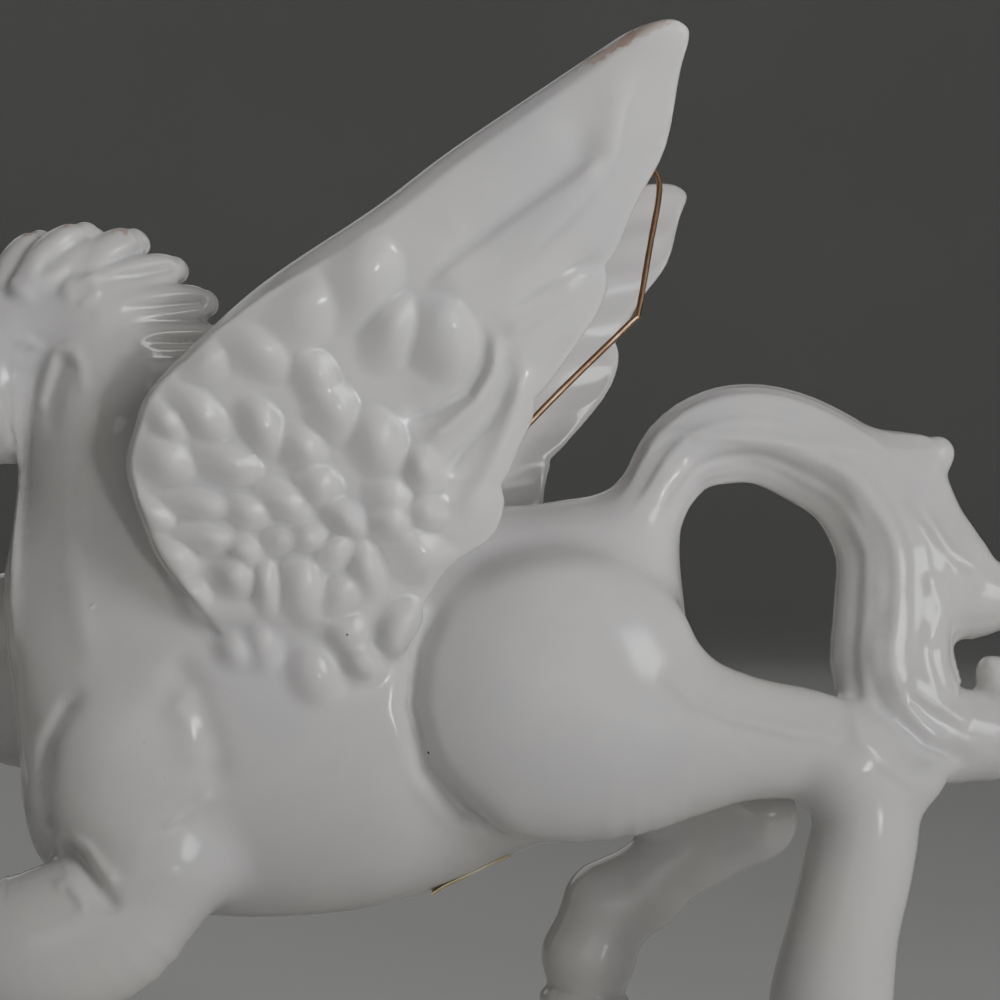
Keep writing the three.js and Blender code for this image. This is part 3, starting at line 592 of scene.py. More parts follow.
class Trunk:
    """Upright oval sections along x: rows of (x, top, bottom, half width)."""

    def __init__(self, rows):
        self.x, top, bottom, half = smooth_rows(rows, 6).T
        self.sections = (top + bottom) / 2, (top - bottom) / 2, half
        steep = np.gradient((self.sections[1] + half) / 2, self.x)
        self.square = 1 / np.hypot(1, steep)
        self.low = np.array([self.x[0], -half.max(), bottom.min()])
        self.high = np.array([self.x[-1], half.max(), top.max()])

    def __call__(self, points):
        x, y, z = points
        middle, tall, half, square = (
            np.interp(x, self.x, row).astype(np.float32) for row in (*self.sections, self.square)
        )
        around = oval_distance((z - middle, y), (tall, half)) * square
        ends = np.maximum(self.x[0] - x, x - self.x[-1])
        return pare(around, ends, TORSO_END)


class Limb:
    """A chain of oval sections along a smooth line.

    relief gives a height for a place along the limb (0 to 1), across it in the side view and out to its
    side (both -1 to 1).
    """

    def __init__(self, rows, relief=None, per_span=4):
        fine = smooth_rows(rows, per_span).astype(np.float32)
        self.centre, self.radii = fine[:, :3], np.maximum(fine[:, 3:], 0.3)
        along = unit(np.gradient(self.centre, axis=0))
        across = unit(np.cross((0.0, 1.0, 0.0), along)).astype(np.float32)
        self.axes = across, np.cross(along, across), along
        self.relief = relief
        reach = self.radii.max()
        self.low, self.high = self.centre.min(0) - reach, self.centre.max(0) + reach

    def nearest_place(self, points):
        """Where along the line each point's nearest section is, counted in sections."""
        nearest = np.full(points.shape[1], np.inf, np.float32)
        place = np.zeros_like(nearest)
        for i, step in enumerate(np.diff(self.centre, axis=0)):
            offset = points - self.centre[i][:, None]
            t = np.clip(step @ offset / (step @ step), 0, 1)
            offset -= step[:, None] * t
            away = (offset * offset).sum(0)
            place = np.where(away < nearest, i + t, place)
            nearest = np.minimum(nearest, away)
        return place

    def __call__(self, points):
        place = self.nearest_place(points)
        i = np.minimum(place.astype(int), len(self.centre) - 2)
        t = (place - i).astype(np.float32)

        def at(values):
            return values[i].T * (1 - t) + values[i + 1].T * t

        offset = points - at(self.centre)
        across, side, along = ((at(axis) * offset).sum(0) for axis in self.axes)
        along = np.where((place <= 0) | (place >= len(self.centre) - 1), along, 0)
        side_view, girth = at(self.radii)
        value = oval_distance((across, side, along), (side_view, girth, np.minimum(side_view, girth)))
        if self.relief:
            value = value - self.relief(place / (len(self.centre) - 1), across / side_view, side / girth)
        return value


class Hoof:
    """A cone between a coronet and a wider, flat sole, each (x, y, z, radius)."""

    def __init__(self, coronet, sole):
        self.top, foot = np.array(coronet[:3], np.float32), np.array(sole[:3], np.float32)
        self.length = float(np.linalg.norm(foot - self.top))
        self.axis = (foot - self.top) / self.length
        self.girths = coronet[3], sole[3]
        reach = max(self.girths)
        self.low, self.high = np.minimum(self.top, foot) - reach, np.maximum(self.top, foot) + reach

    def __call__(self, points):
        offset = points - self.top[:, None]
        down = self.axis @ offset
        out = np.sqrt(np.maximum((offset * offset).sum(0) - down * down, 0))
        girth = self.girths[0] + (self.girths[1] - self.girths[0]) * np.clip(down / self.length, 0, 1)
        band = BAND_HEIGHT * np.exp(-((down - BAND_PLACE) ** 2) / BAND_BREADTH)
        ends = np.maximum(-down - HOOF_TOP, down - self.length)
        return pare(out - girth - band, ends, HOOF_EDGE)


class Wing:
    """A flared sheet with a bevelled leading edge, a thin trailing edge and feathers on its outer face."""

    def __init__(self, side, relief, notches, sweep=0.0, lean=0.0, fullness=((0, 0),)):
        self.side, self.relief = side, relief
        rows = smooth_rows(WING, 4)
        self.heights, self.lead, self.trail, self.half = rows.T
        self.trail = self.trail + np.interp(self.heights, *zip(*fullness))
        for notch in notches:
            self.trail = self.trail - NOTCH_DEPTH * np.exp(-(((self.heights - notch) / NOTCH_HALF) ** 2))
        self.lead_square = 1 / np.hypot(1, np.gradient(self.lead, self.heights))
        self.trail_square = 1 / np.hypot(1, np.gradient(self.trail, self.heights))
        tilt = side * lean
        turn_back = np.array([
            [math.cos(sweep), 0, -math.sin(sweep)],
            [0, 1, 0],
            [math.sin(sweep), 0, math.cos(sweep)],
        ])
        stand_up = np.array([
            [1, 0, 0],
            [0, math.cos(tilt), -math.sin(tilt)],
            [0, math.sin(tilt), math.cos(tilt)],
        ])
        self.turn = (turn_back @ stand_up).astype(np.float32)
        self.root = np.array([WING_ROOT[0], side * WING_ROOT[1], WING_ROOT[2]], np.float32)
        node = "left_wing" if side < 0 else "right_wing"
        self.low, self.high = horse_box(node)

    def __call__(self, points):
        x, y, z = self.turn @ (points - self.root[:, None]) + self.root[:, None]
        lead, trail, half, lead_square, trail_square = (
            np.interp(z, self.heights, row).astype(np.float32)
            for row in (self.lead, self.trail, self.half, self.lead_square, self.trail_square)
        )
        past_lead = (x - lead) * lead_square
        past_trail = (trail - x) * trail_square
        ends = np.minimum(z - SHEET_FOOT, self.heights[-1] - z)
        inside = melt(melt(past_lead, past_trail, CORNER_ROUND), ends, 2 * CORNER_ROUND)
        gap, slope = wing_offset(self.side * y, z)
        curl = np.clip(1 - past_lead / LEAD_BAND, 0, CURL_LIMIT) ** 2
        gap = gap + LEAD_CURL * ramp(z, *CURL_HEIGHTS) * curl
        relief, veins = np.zeros_like(x), np.zeros_like(x)
        near = np.abs(gap) < RELIEF_REACH
        if near.any():
            relief[near] = self.relief.outer(x[near], z[near])
            veins[near] = self.relief.inner(x[near], z[near])
        thin = np.minimum(thickness(TRAIL_TAPER, past_trail), thickness(FOOT_TAPER, z - SHEET_FOOT))
        thin = np.maximum(thin, FOOT_TAPER[0])
        steep = LEAD_BEVEL[1] + LOW_BEVEL * ramp(z, *BEVEL_HEIGHTS)
        bevel = np.maximum(thickness((LEAD_BEVEL[0], steep), past_lead), LEAST_BEVEL)
        bevel = melt(half, bevel, EDGE_FILLET / 2)
        rounded = melt(half, np.maximum(thickness(LEAD_ROUND, past_lead), LEAST_ROUND), EDGE_FILLET)
        past_bevel = np.clip(past_lead * steep / RELIEF_MARGIN - 1, 0, 1)
        fade = np.clip(inside / RELIEF_MARGIN, 0, 1)
        outer = gap * slope - melt(bevel, thin, EDGE_FILLET) - relief * past_bevel * fade
        inner = -gap * slope - melt(rounded, thin, EDGE_FILLET) - veins * fade
        sheet = pare(np.maximum(outer, inner), -inside, CORNER_ROUND)
        for lobe in self.relief.lobes:
            radii = lobe.length, lobe.width, LOBE_HALF
            sheet = melt(sheet, oval_distance((*lobe.offsets(x, z), gap), radii), 2 * EDGE_FILLET)
        return sheet


def thickness(edge, inwards):
    """A half thickness near an edge, from the one at the edge and its growth."""
    return edge[0] + edge[1] * inwards


def wing_offset(out, z):
    """How far outside a wing's middle surface a place is, and the cosine of that surface's slope."""
    rise = np.clip((z - WING[0][0]) / (WING[-1][0] - WING[0][0]), 0, 1.1)
    middle = WING_ROOT[1] + WING_FLARE * rise**WING_FLARE_POWER
    slope = WING_FLARE * WING_FLARE_POWER * rise ** (WING_FLARE_POWER - 1) / (WING[-1][0] - WING[0][0])
    return out - middle, 1 / np.hypot(1, slope)


class Feather:
    """A small oval feather: its middle, half length and half width in the side view, and its height."""

    def __init__(self, px, py, half_length, half_width, tilt, rise, flatness=2):
        self.x, self.z, scale = on_wing(px, py)
        self.length, self.width = half_length * scale, half_width * scale
        self.axis = math.cos(math.radians(tilt)), math.sin(math.radians(tilt))
        self.rise, self.flatness = rise, flatness

    def offsets(self, x, z):
        ax, az = self.axis
        return (x - self.x) * ax + (z - self.z) * az, (z - self.z) * ax - (x - self.x) * az

    def height(self, x, z):
        along, across = self.offsets(x, z)
        reach = np.hypot(along / self.length, across / self.width) / FEATHER_REACH
        mound = np.maximum(1 - reach**self.flatness, 0) ** FEATHER_FALL
        towards_tip = ((x - self.x) * TIP_DIRECTION[0] + (z - self.z) * TIP_DIRECTION[1]) / self.width
        return self.rise * mound * (FEATHER_LEAN[0] + FEATHER_LEAN[1] * np.tanh(towards_tip))


class WingRelief:
    """Heights of the feathers over a wing's two faces."""

    def __init__(self, height):
        self.height = height
        feathers = [Feather(*row) for row in FEATHERS]
        self.feathers = [feather for feather in feathers if feather.z >= LOBE_HEIGHT]
        self.lobes = [feather for feather in feathers if feather.z < LOBE_HEIGHT]
        self.lines = [
            Line([on_wing(*point)[:2] for point in points], *section) for points, *section in FEATHER_LINES
        ]

    def outer(self, x, z):
        """The relief on the outer face."""
        relief = np.zeros_like(x)
        low_x, high_x, low_z, high_z = x.min(), x.max(), z.min(), z.max()
        for feather in self.feathers:
            reach = 2 * feather.length
            beside = feather.x - reach > high_x or feather.x + reach < low_x
            if not (beside or feather.z - reach > high_z or feather.z + reach < low_z):
                relief = np.cbrt(relief**3 + feather.height(x, z) ** 3)
        for line in self.lines:
            relief = relief + line(x, z)
        return relief * self.height

    def inner(self, x, z):
        """Soft flight feathers that run out to the trailing edge."""
        ribs = np.cos((z - RIB_SLANT * x) * 2 * math.pi / RIB_SPACING)
        return RIB_HEIGHT * ribs * ramp(x, *RIB_RISE) * self.height


class Line:
    """A soft ridge, or with a negative height a groove, along a path in the side view."""

    def __init__(self, path, width, height, spread=1):
        self.path = np.array(path, np.float32)
        self.width, self.height, self.spread = width, height, spread
        reach = LINE_REACH * width * spread
        self.low, self.high = self.path.min(0) - reach, self.path.max(0) + reach

    def __call__(self, x, z):
        nearest = np.full_like(x, FAR)
        place, left = np.zeros_like(x), np.zeros_like(x)
        steps = np.diff(self.path, axis=0)
        for i, (start, step) in enumerate(zip(self.path, steps)):
            along = np.clip(((x - start[0]) * step[0] + (z - start[1]) * step[1]) / (step @ step), 0, 1)
            away = np.hypot(x - start[0] - along * step[0], z - start[1] - along * step[1])
            place = np.where(away < nearest, (i + along) / len(steps), place)
            left = np.where(away < nearest, (z - start[1]) * step[0] - (x - start[0]) * step[1], left)
            nearest = np.minimum(nearest, away)
        width = np.where(left > 0, self.width * self.spread, self.width)
        taper = ramp(np.minimum(place, 1 - place), 0, LINE_TAPER)
        return self.height * taper * np.exp(-((nearest / width) ** 2))


def overlap(part, low, high):
    """Whether a part's box and the box of some points overlap."""
    return np.all(part.low < high) and np.all(low < part.high)


class Form:
    """Parts that melt into one casting. Beyond reach a place doesn't feel them."""

    def __init__(self, *parts, fillet, cuts=(), reach=8.0):
        self.parts, self.fillet, self.cuts, self.reach = parts, fillet, cuts, reach
        self.low = np.min([part.low for part in parts], axis=0)
        self.high = np.max([part.high for part in parts], axis=0)

    def __call__(self, points):
        low, high = points.min(1) - self.reach, points.max(1) + self.reach
        value = np.full(points.shape[1], FAR, np.float32)
        for part in self.parts:
            if overlap(part, low, high):
                value = melt(value, part(points), self.fillet)
        for cut in self.cuts:
            if overlap(cut, low, high):
                value = pare(value, -cut(points), CUT_EDGE)
        return value


def horse_box(node):
    """A CAD node's box, in the horse's own millimetres."""
    return tuple(np.array(corner) / MM - (0, 0, SOLE_HEIGHT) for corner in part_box(node))


def seen(px, py, y):
    """x, z and the millimetres in a pixel, for a pixel of the photograph and the surface's y there."""
    scale = PHOTO_SCALE * (CAMERA_DISTANCE + y) / CAMERA_DISTANCE
    middle = PHOTO_SIZE / 2
    return (px - middle) * scale, CAMERA_HEIGHT - SOLE_HEIGHT - (py - middle) * scale, scale


def on_wing(px, py):
    """seen, for a pixel on the left wing."""
    y = -WING_ROOT[1]
    for _ in range(4):
        x, z, scale = seen(px, py, y)
        y += wing_offset(-y, z)[0]
    return x, z, scale


# The horse


def mirrored(rows):
    return [(x, -y, *rest) for x, y, *rest in rows]


def strands(count, depth, twist):
    """Combed strands round a lock of hair."""

    def relief(along, across, side):
        angle = np.arctan2(across, side)
        hair = sum(
            share * np.cos((times * count + more) * angle + twist * along * turn)
            for share, times, more, turn in HAIR_WAVES
        )
        return depth * hair * ramp(along, *HAIR_START) * ramp(along, *HAIR_END)

    return relief


def petal(ridges, depth, side):
    """A lock of the mane, hollowed along its middle between its ridges."""

    def relief(along, across, out):
        place, width, share = LOCK_HOLLOWS[ridges]
        hollow = share * np.exp(-(((across - place) / width) ** 2))
        length = ramp(along, *HOLLOW_START) * ramp(along, *HOLLOW_END)
        return -depth * hollow * length * ramp(out * side, *HOLLOW_SIDE)

    return relief


def mane_form(depth):
    locks = [Limb(MANE_CREST)]
    for side in (-1, 1):
        for root, tip, width, ridges in MANE_LOCKS:
            rows = []
            for t, swell in LOCK_SWELL:
                x, y, z = (a + t * (b - a) for a, b in zip(root, tip))
                rows.append((x, -side * y, z, width * swell, width * swell * LOCK_FLATNESS))
            locks.append(Limb(rows, relief=petal(ridges, depth, side)))
    return Form(*locks, fillet=0.9)


def leg_form(muscles, limbs, hoof, track, side, bead=()):
    def placed(row):
        x, outwards, *rest = row
        return (x, side * (track / 2 + outwards), *rest)

    parts = [Ball(placed(centre), radii) for centre, radii in muscles]
    parts += [Limb([placed(row) for row in rows]) for rows in limbs]
    shank = Form(*parts, fillet=3.5)
    return Form(shank, Hoof(*map(placed, hoof)), *bead, fillet=1.2)


def head_form():
    def pair(centre, radii):
        x, y, z = centre
        return [Ball((x, side * y, z), radii) for side in (-1, 1)]

    skull = Form(Limb(HEAD), Ball(*POLL), fillet=4.0)
    return Form(skull, *pair(*EYE), fillet=0.9, cuts=pair(*NOSTRIL))


def ear_form(side):
    rows = EAR if side < 0 else mirrored(EAR)
    (ahead, out, up), (narrow, thin) = EAR_CUP
    cup = [(x + ahead, y * out, z + up, narrow * a, thin * b) for x, y, z, a, b in rows]
    return Form(Limb(rows), fillet=1.0, cuts=[Limb(cup)])


def tail_form(depth):
    arch = Limb(TAIL_ARCH, relief=strands(count=6, depth=depth, twist=0.35))
    thinner = strands(count=4, depth=depth / 2, twist=0.2)
    flicks = [Limb(rows, relief=thinner) for rows in TAIL_FLICKS]
    return Form(arch, *flicks, Ball(*TAIL_CURL), Ball(*TAIL_CURL_TIP), fillet=2.5)


def torso_form():
    vent_z = np.interp(VENT_X, [row[0] for row in TORSO], [row[2] for row in TORSO])
    vent = Limb([(VENT_X, 0, vent_z + z, VENT_RADIUS, VENT_RADIUS) for z in (-4, 0, VENT_DEPTH)])
    return Form(Trunk(TORSO), fillet=1.0, cuts=[vent], reach=TRUNK_REACH)


# How softly each casting melts into those before it
FILLETS = {
    "torso": 1.0,
    "neck": 14.0,
    "head": 3.0,
    **dict.fromkeys(LEGS, 5.0),
    "tail": 5.0,
    "left_wing": 2.0,
    "right_wing": 2.0,
    "mane": 1.2,
    "left_ear": 1.2,
    "right_ear": 1.2,
    "forelock": 1.2,
}


class Sculpture:
    """The whole glazed horse, and the part of it that belongs to each casting."""

    def __init__(self, settings):
        feathers = WingRelief(settings.feather_relief)
        turns = RIGHT_WING_SWEEP, RIGHT_WING_LEAN
        left_wing = Wing(-1, feathers, LEFT_WING_NOTCHES)
        right_wing = Wing(1, feathers, RIGHT_WING_NOTCHES, *turns, RIGHT_WING_FULLNESS)
        forelock = Limb(FORELOCK, relief=strands(count=5, depth=0.25, twist=0.2))
        forms = {
            "torso": torso_form(),
            "neck": Form(Limb(NECK), fillet=1.0, reach=TRUNK_REACH),
            "head": head_form(),
            "tail": tail_form(settings.strand_depth),
            "left_wing": Form(left_wing, fillet=1.0),
            "right_wing": Form(right_wing, fillet=1.0),
            "mane": mane_form(settings.lock_depth),
            "left_ear": ear_form(-1),
            "right_ear": ear_form(1),
            "forelock": Form(forelock, fillet=1.0),
        }
        for node, rows in LEGS.items():
            forms[node] = leg_form(*rows, bead=[Ball(*HOOF_BEAD)] if node == "left_hind_leg" else [])
        self.castings = {node: (forms[node], fillet) for node, fillet in FILLETS.items()}
        self.side_lines = []
        for points, y, width, height in SIDE_LINES:
            self.side_lines.append(Line([seen(px, py, y)[:2] for px, py in points], width, height))
        self.head_lines = [Line(*line) for line in HEAD_LINES]

    def relief(self, points):
        """Height of the modelled lines over the surface."""
        x, y, z = points
        low, high = points[::2].min(1), points[::2].max(1)
        total = np.zeros_like(x)
        on_side, on_head = ramp(-y, *NEAR_SIDE), ramp(np.abs(y), *HEAD_SIDES)
        for lines, mask in ((self.side_lines, on_side), (self.head_lines, on_head)):
            for line in lines:
                if overlap(line, low, high):
                    total = total + line(x, z) * mask
        return total

    def piece(self, node):
        """The field of one piece: the horse's surface where this casting is the nearest."""

        def field(points):
            own = self.castings[node][0](points)
            others = np.full_like(own, FAR)
            whole = np.full_like(own, FAR)
            for name, (form, fillet) in self.castings.items():
                value = own if name == node else form(points)
                whole = melt(whole, value, fillet)
                if name != node:
                    others = np.minimum(others, value)
            whole = whole - self.relief(points)
            beyond = own - others
            whole = whole + SINK * np.clip(beyond + SINK_START, 0, SINK_REACH)
            return np.maximum(whole, beyond / 2 - OVERLAP)

        return field

    def surface(self, points):
        """The field of the whole horse."""
        whole = np.full(points.shape[1], FAR, np.float32)
        for form, fillet in self.castings.values():
            whole = melt(whole, form(points), fillet)
        return whole - self.relief(points)


# From a field to a mesh

CHUNK, THREADS = 20000, 4
BLOCK = 5
# A field is only roughly a distance, so blocks count as crossed by its surface from this much further away
CROSSING_SHARE, CROSSING_MARGIN = 1.3, 1.5
SETTLE_ROUNDS, NUDGE, LEAST_STEEPNESS = 2, 0.06, 0.05
BULGE_ROUNDS, BULGE_KEPT = 6, 0.4
SHARP_ANGLE = math.radians(50)
BOX_MARGIN, QUICK_COARSER = 3, 2
CORNERS = np.array([(i, j, k) for i in (0, 1) for j in (0, 1) for k in (0, 1)])
EDGES = [(a, b) for a in range(8) for b in range(a + 1, 8) if np.abs(CORNERS[a] - CORNERS[b]).sum() == 1]


def sample(field, points):
    """The field's values at rows of points."""
    chunks = np.array_split(points, max(1, len(points) // CHUNK))
    with ThreadPoolExecutor(THREADS) as pool:
        values = pool.map(lambda chunk: field(np.ascontiguousarray(chunk.T, np.float32)), chunks)
        return np.concatenate(list(values))


def in_blocks(places):
    """Grid places, ordered so that those that follow one another are near one another."""
    block = places // (2 * BLOCK)
    return places[np.lexsort(block.T[::-1])]


def grid_values(field, low, high, step):
    """The field's values on a grid over a box, worked out only in the blocks that its surface can cross."""
    blocks = np.ceil((high - low) / (BLOCK * step)).astype(int)
    block_index = np.stack(np.meshgrid(*map(np.arange, blocks), indexing="ij"), axis=-1).reshape(-1, 3)
    middles = sample(field, low + (block_index + 0.5) * BLOCK * step).reshape(blocks)
    half_diagonal = BLOCK * step * math.sqrt(3) / 2
    crossed = np.abs(middles) < CROSSING_SHARE * half_diagonal + CROSSING_MARGIN

    def refine(array):
        for axis in range(3):
            array = array.repeat(BLOCK, axis)
        return np.pad(array, (0, 1), mode="edge")

    wanted = refine(crossed)
    for axis in range(3):
        rows = np.moveaxis(wanted, axis, 0)
        rows[1:] |= rows[:-1].copy()
    values = np.where(refine(middles) > 0, FAR, -FAR).astype(np.float32)
    places = in_blocks(np.argwhere(wanted))
    values[tuple(places.T)] = sample(field, low + places * step)
    for axis in range(3):
        rows = np.moveaxis(values, axis, 0)
        rows[0] = rows[-1] = FAR
    return values


def surface_net(values, low, step):
    """Points and outward quads of the surface where a grid of values passes through zero."""
    inside = values < 0
    size = np.array(values.shape) - 1
    count = sum(
        inside[i : i + size[0], j : j + size[1], k : k + size[2]].astype(np.uint8) for i, j, k in CORNERS
    )
    cells = in_blocks(np.argwhere((count > 0) & (count < 8)))
    number = np.full(size, -1, np.int32)
    number[tuple(cells.T)] = np.arange(len(cells))
    corner_values = [values[tuple((cells + corner).T)] for corner in CORNERS]
    total = np.zeros(cells.shape)
    hits = np.zeros(len(cells))
    for a, b in EDGES:
        va, vb = corner_values[a], corner_values[b]
        crossing = (va < 0) != (vb < 0)
        t = np.where(crossing, va / np.where(crossing, va - vb, 1), 0)
        total += crossing[:, None] * (CORNERS[a] + t[:, None] * (CORNERS[b] - CORNERS[a]))
        hits += crossing
    points = low + step * (cells + total / hits[:, None])
    quads = []
    for axis in range(3):
        state = np.moveaxis(inside, axis, 0)
        cell = np.moveaxis(number, axis, 0)
        i, j, k = np.nonzero(state[:-1, 1:-1, 1:-1] != state[1:, 1:-1, 1:-1])
        corners = (j, k), (j + 1, k), (j + 1, k + 1), (j, k + 1)
        ring = np.stack([cell[i, *corner] for corner in corners], axis=1)
        backwards = state[i, j + 1, k + 1] == (axis == 1)
        ring[backwards] = ring[backwards][:, ::-1]
        quads.append(ring)
    return points, np.concatenate(quads)


def neighbour_means(points, quads):
    """The middle of each point's neighbours."""
    heads = np.concatenate([quads[:, i] for i in range(4)] * 2)
    tails = np.concatenate([quads[:, (i + 1) % 4] for i in range(4)] + [quads[:, i - 1] for i in range(4)])
    count = np.bincount(heads, minlength=len(points))
    sums = [np.bincount(heads, points[tails, axis], len(points)) for axis in range(points.shape[1])]
    return np.stack(sums, axis=1) / np.maximum(count, 1)[:, None]


def settle(field, points, step):
    """Points moved onto the field's surface, and the outward directions there."""
    here = sample(field, points)
    slopes = [sample(field, points + NUDGE * axis) - here for axis in np.eye(3)]
    slope = np.stack(slopes, axis=1) / NUDGE
    steepness = np.maximum((slope * slope).sum(1, keepdims=True), LEAST_STEEPNESS)
    move = np.clip(here[:, None] * slope / steepness, -step, step)
    return points - move, unit(slope + 1e-9)


def sculpted(name, field, low, high, step):
    """A closed mesh object of a field's surface, with how far it bulges: where its glaze lies thin and
    where it pools, shown partly as painted edge light and painted shade.
    """
    values = grid_values(field, low, high, step)
    points, quads = surface_net(values, low, step)
    for _ in range(SETTLE_ROUNDS):
        points = 0.5 * (points + neighbour_means(points, quads))
        points, outward = settle(field, points, step)
    bulge = ((points - neighbour_means(points, quads)) * outward).sum(1, keepdims=True) / step**2
    for _ in range(BULGE_ROUNDS):
        bulge = BULGE_KEPT * bulge + (1 - BULGE_KEPT) * neighbour_means(bulge, quads)
    piece = mesh_object(name, points + (0, 0, SOLE_HEIGHT), quads)
    store(piece, "bulge", bulge[:, 0])
    return piece, points


def mesh_object(name, points, faces):
    """A smooth mesh object from points in millimetres and faces of equal size."""
    faces = np.asarray(faces)
    mesh = bpy.data.meshes.new(name)
    mesh.vertices.add(len(points))
    mesh.vertices.foreach_set("co", (np.asarray(points) * MM).astype(np.float32).ravel())
    mesh.loops.add(faces.size)
    mesh.loops.foreach_set("vertex_index", faces.astype(np.int32).ravel())
    mesh.polygons.add(len(faces))
    mesh.polygons.foreach_set("loop_start", np.arange(0, faces.size, faces.shape[1], dtype=np.int32))
    mesh.update(calc_edges=True)
    mesh.shade_smooth()
    mesh.set_sharp_from_angle(angle=SHARP_ANGLE)
    piece = bpy.data.objects.new(name, mesh)
    bpy.context.scene.collection.objects.link(piece)
    return piece


def store(piece, name, values):
    """Keeps a number for each point of a piece's mesh, for its material."""
    attribute = piece.data.attributes.new(name, "FLOAT", "POINT")
    attribute.data.foreach_set("value", np.ascontiguousarray(values, np.float32))


def fit_out(piece, node, body, material):
    """Sets a finished piece in the place of its CAD node."""
    piece.data.materials.append(material)
    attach(piece, body)
    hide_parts(node)


# Materials

# Mottling: the noise between its two tones, the share of cells with a speck, and a speck's edge
PATCH_NOISE, SPECKED_CELLS, SPECK_EDGE = (0.34, 0.68), (0.8, 0.82), (0.028, 0.016)
SPECK_COLOUR = (0.035, 0.03, 0.028, 1)
# Glaze: the bulges between which it pools darker or thins lighter, and how far it then takes that colour.
# The darkening in hollows is partly painted shade, and the lightening on ridges partly painted edge light
POOLING_AND_SHADE, THINNING_AND_EDGE_LIGHT = (-0.01, -0.12, 0, 0.55), (0.05, 0.3, 0, 0.4)
# The wear between which bare clay comes up, and how the grain makes its edge ragged
BARING, RAGGEDNESS = (0.42, 0.62), (0.3, 0.7, -0.25, 0.25)
GLAZE_ROUGHNESS, CLAY_ROUGHNESS = (0, 1, 0.13, 0.19), 0.7
COPPER_ROUGHNESS, PAPER_ROUGHNESS = (0, 1, 0.28, 0.52), (0.2, 0.8, 0.7, 0.9)


def new_material(name):
    material = bpy.data.materials.new(name)
    material.use_nodes = True
    tree = material.node_tree
    return material, tree, tree.nodes["Principled BSDF"]


def feed(tree, node, **values):
    """Sets a node's inputs or properties, or links them where the value is another node's output."""
    for name, value in values.items():
        if hasattr(node, name):
            setattr(node, name, value)
            continue
        socket = node.inputs[name.replace("_", " ")]
        if isinstance(value, bpy.types.NodeSocket):
            tree.links.new(value, socket)
        else:
            socket.default_value = value
    return node


def add(tree, kind, **values):
    """A new node, with some of its inputs or properties fed."""
    return feed(tree, tree.nodes.new(kind), **values)


def work_out(tree, operation, a, b):
    """A value from two others."""
    node = add(tree, "ShaderNodeMath", operation=operation)
    for socket, value in zip(node.inputs, (a, b)):
        tree.links.new(value, socket)
    return node.outputs[0]


def blend(tree, factor, a, b, kind="Color"):
    """A colour, or with kind Float a value, between a and b."""
    node = tree.nodes.new("ShaderNodeMix")
    node.data_type = "RGBA" if kind == "Color" else "FLOAT"
    sockets = {socket.identifier: socket for socket in (*node.inputs, *node.outputs)}
    for name, value in (("Factor_Float", factor), (f"A_{kind}", a), (f"B_{kind}", b)):
        if isinstance(value, bpy.types.NodeSocket):
            tree.links.new(value, sockets[name])
        else:
            sockets[name].default_value = value
    return sockets[f"Result_{kind}"]


def level(tree, value, low, high, to_low=0.0, to_high=1.0):
    """A value brought from one range to another, smoothly."""
    node = tree.nodes.new("ShaderNodeMapRange")
    node.interpolation_type = "SMOOTHSTEP"
    tree.links.new(value, node.inputs["Value"])
    for name, number in (("From Min", low), ("From Max", high), ("To Min", to_low), ("To Max", to_high)):
        node.inputs[name].default_value = number
    return node.outputs["Result"]


def attribute(tree, name):
    return add(tree, "ShaderNodeAttribute", attribute_name=name).outputs["Fac"]


def mottling():
    """A node group: two tones that drift into one another, a mask of small specks, and a fine grain."""
    name = "Mottling"
    if name in bpy.data.node_groups:
        return bpy.data.node_groups[name]
    group = bpy.data.node_groups.new(name, "ShaderNodeTree")
    face = group.interface
    for socket, kind, default in (
        ("Tone A", "NodeSocketColor", (0.8, 0.8, 0.8, 1)),
        ("Tone B", "NodeSocketColor", (0.7, 0.7, 0.7, 1)),
        ("Patch Scale", "NodeSocketFloat", 40.0),
        ("Speck Scale", "NodeSocketFloat", 100.0),
        ("Grain Scale", "NodeSocketFloat", 900.0),
    ):
        face.new_socket(socket, in_out="INPUT", socket_type=kind).default_value = default
    for socket in ("Colour", "Patches", "Specks", "Grain"):
        kind = "NodeSocketColor" if socket == "Colour" else "NodeSocketFloat"
        face.new_socket(socket, in_out="OUTPUT", socket_type=kind)
    given = group.nodes.new("NodeGroupInput").outputs
    result = group.nodes.new("NodeGroupOutput")
    place = add(group, "ShaderNodeTexCoord").outputs["Object"]
    noise = dict(Vector=place, Scale=given["Patch Scale"], Detail=4.0, Roughness=0.55)
    drift = add(group, "ShaderNodeTexNoise", **noise)
    patches = level(group, drift.outputs["Fac"], *PATCH_NOISE)
    dots = add(group, "ShaderNodeTexVoronoi", Vector=place, Scale=given["Speck Scale"])
    lucky = add(group, "ShaderNodeSeparateColor", Color=dots.outputs["Color"]).outputs["Red"]
    few = level(group, lucky, *SPECKED_CELLS)
    small = level(group, dots.outputs["Distance"], *SPECK_EDGE)
    grain = add(group, "ShaderNodeTexNoise", Vector=place, Scale=given["Grain Scale"], Detail=3.0)
    colour = blend(group, patches, given["Tone A"], given["Tone B"])
    specks = work_out(group, "MULTIPLY", few, small)
    feed(group, result, Colour=colour, Patches=patches, Specks=specks, Grain=grain.outputs["Fac"])
    return group


def place_mottling(tree, tone_a, tone_b, patch_scale, grain_scale):
    node = add(tree, "ShaderNodeGroup", node_tree=mottling())
    feed(tree, node, Tone_A=(*tone_a, 1), Tone_B=(*tone_b, 1))
    return feed(tree, node, Patch_Scale=patch_scale, Grain_Scale=grain_scale).outputs


def bumped(tree, shader, height, distance, strength):
    bump = add(tree, "ShaderNodeBump", Strength=strength, Distance=distance, Height=height)
    feed(tree, shader, Normal=bump.outputs["Normal"])


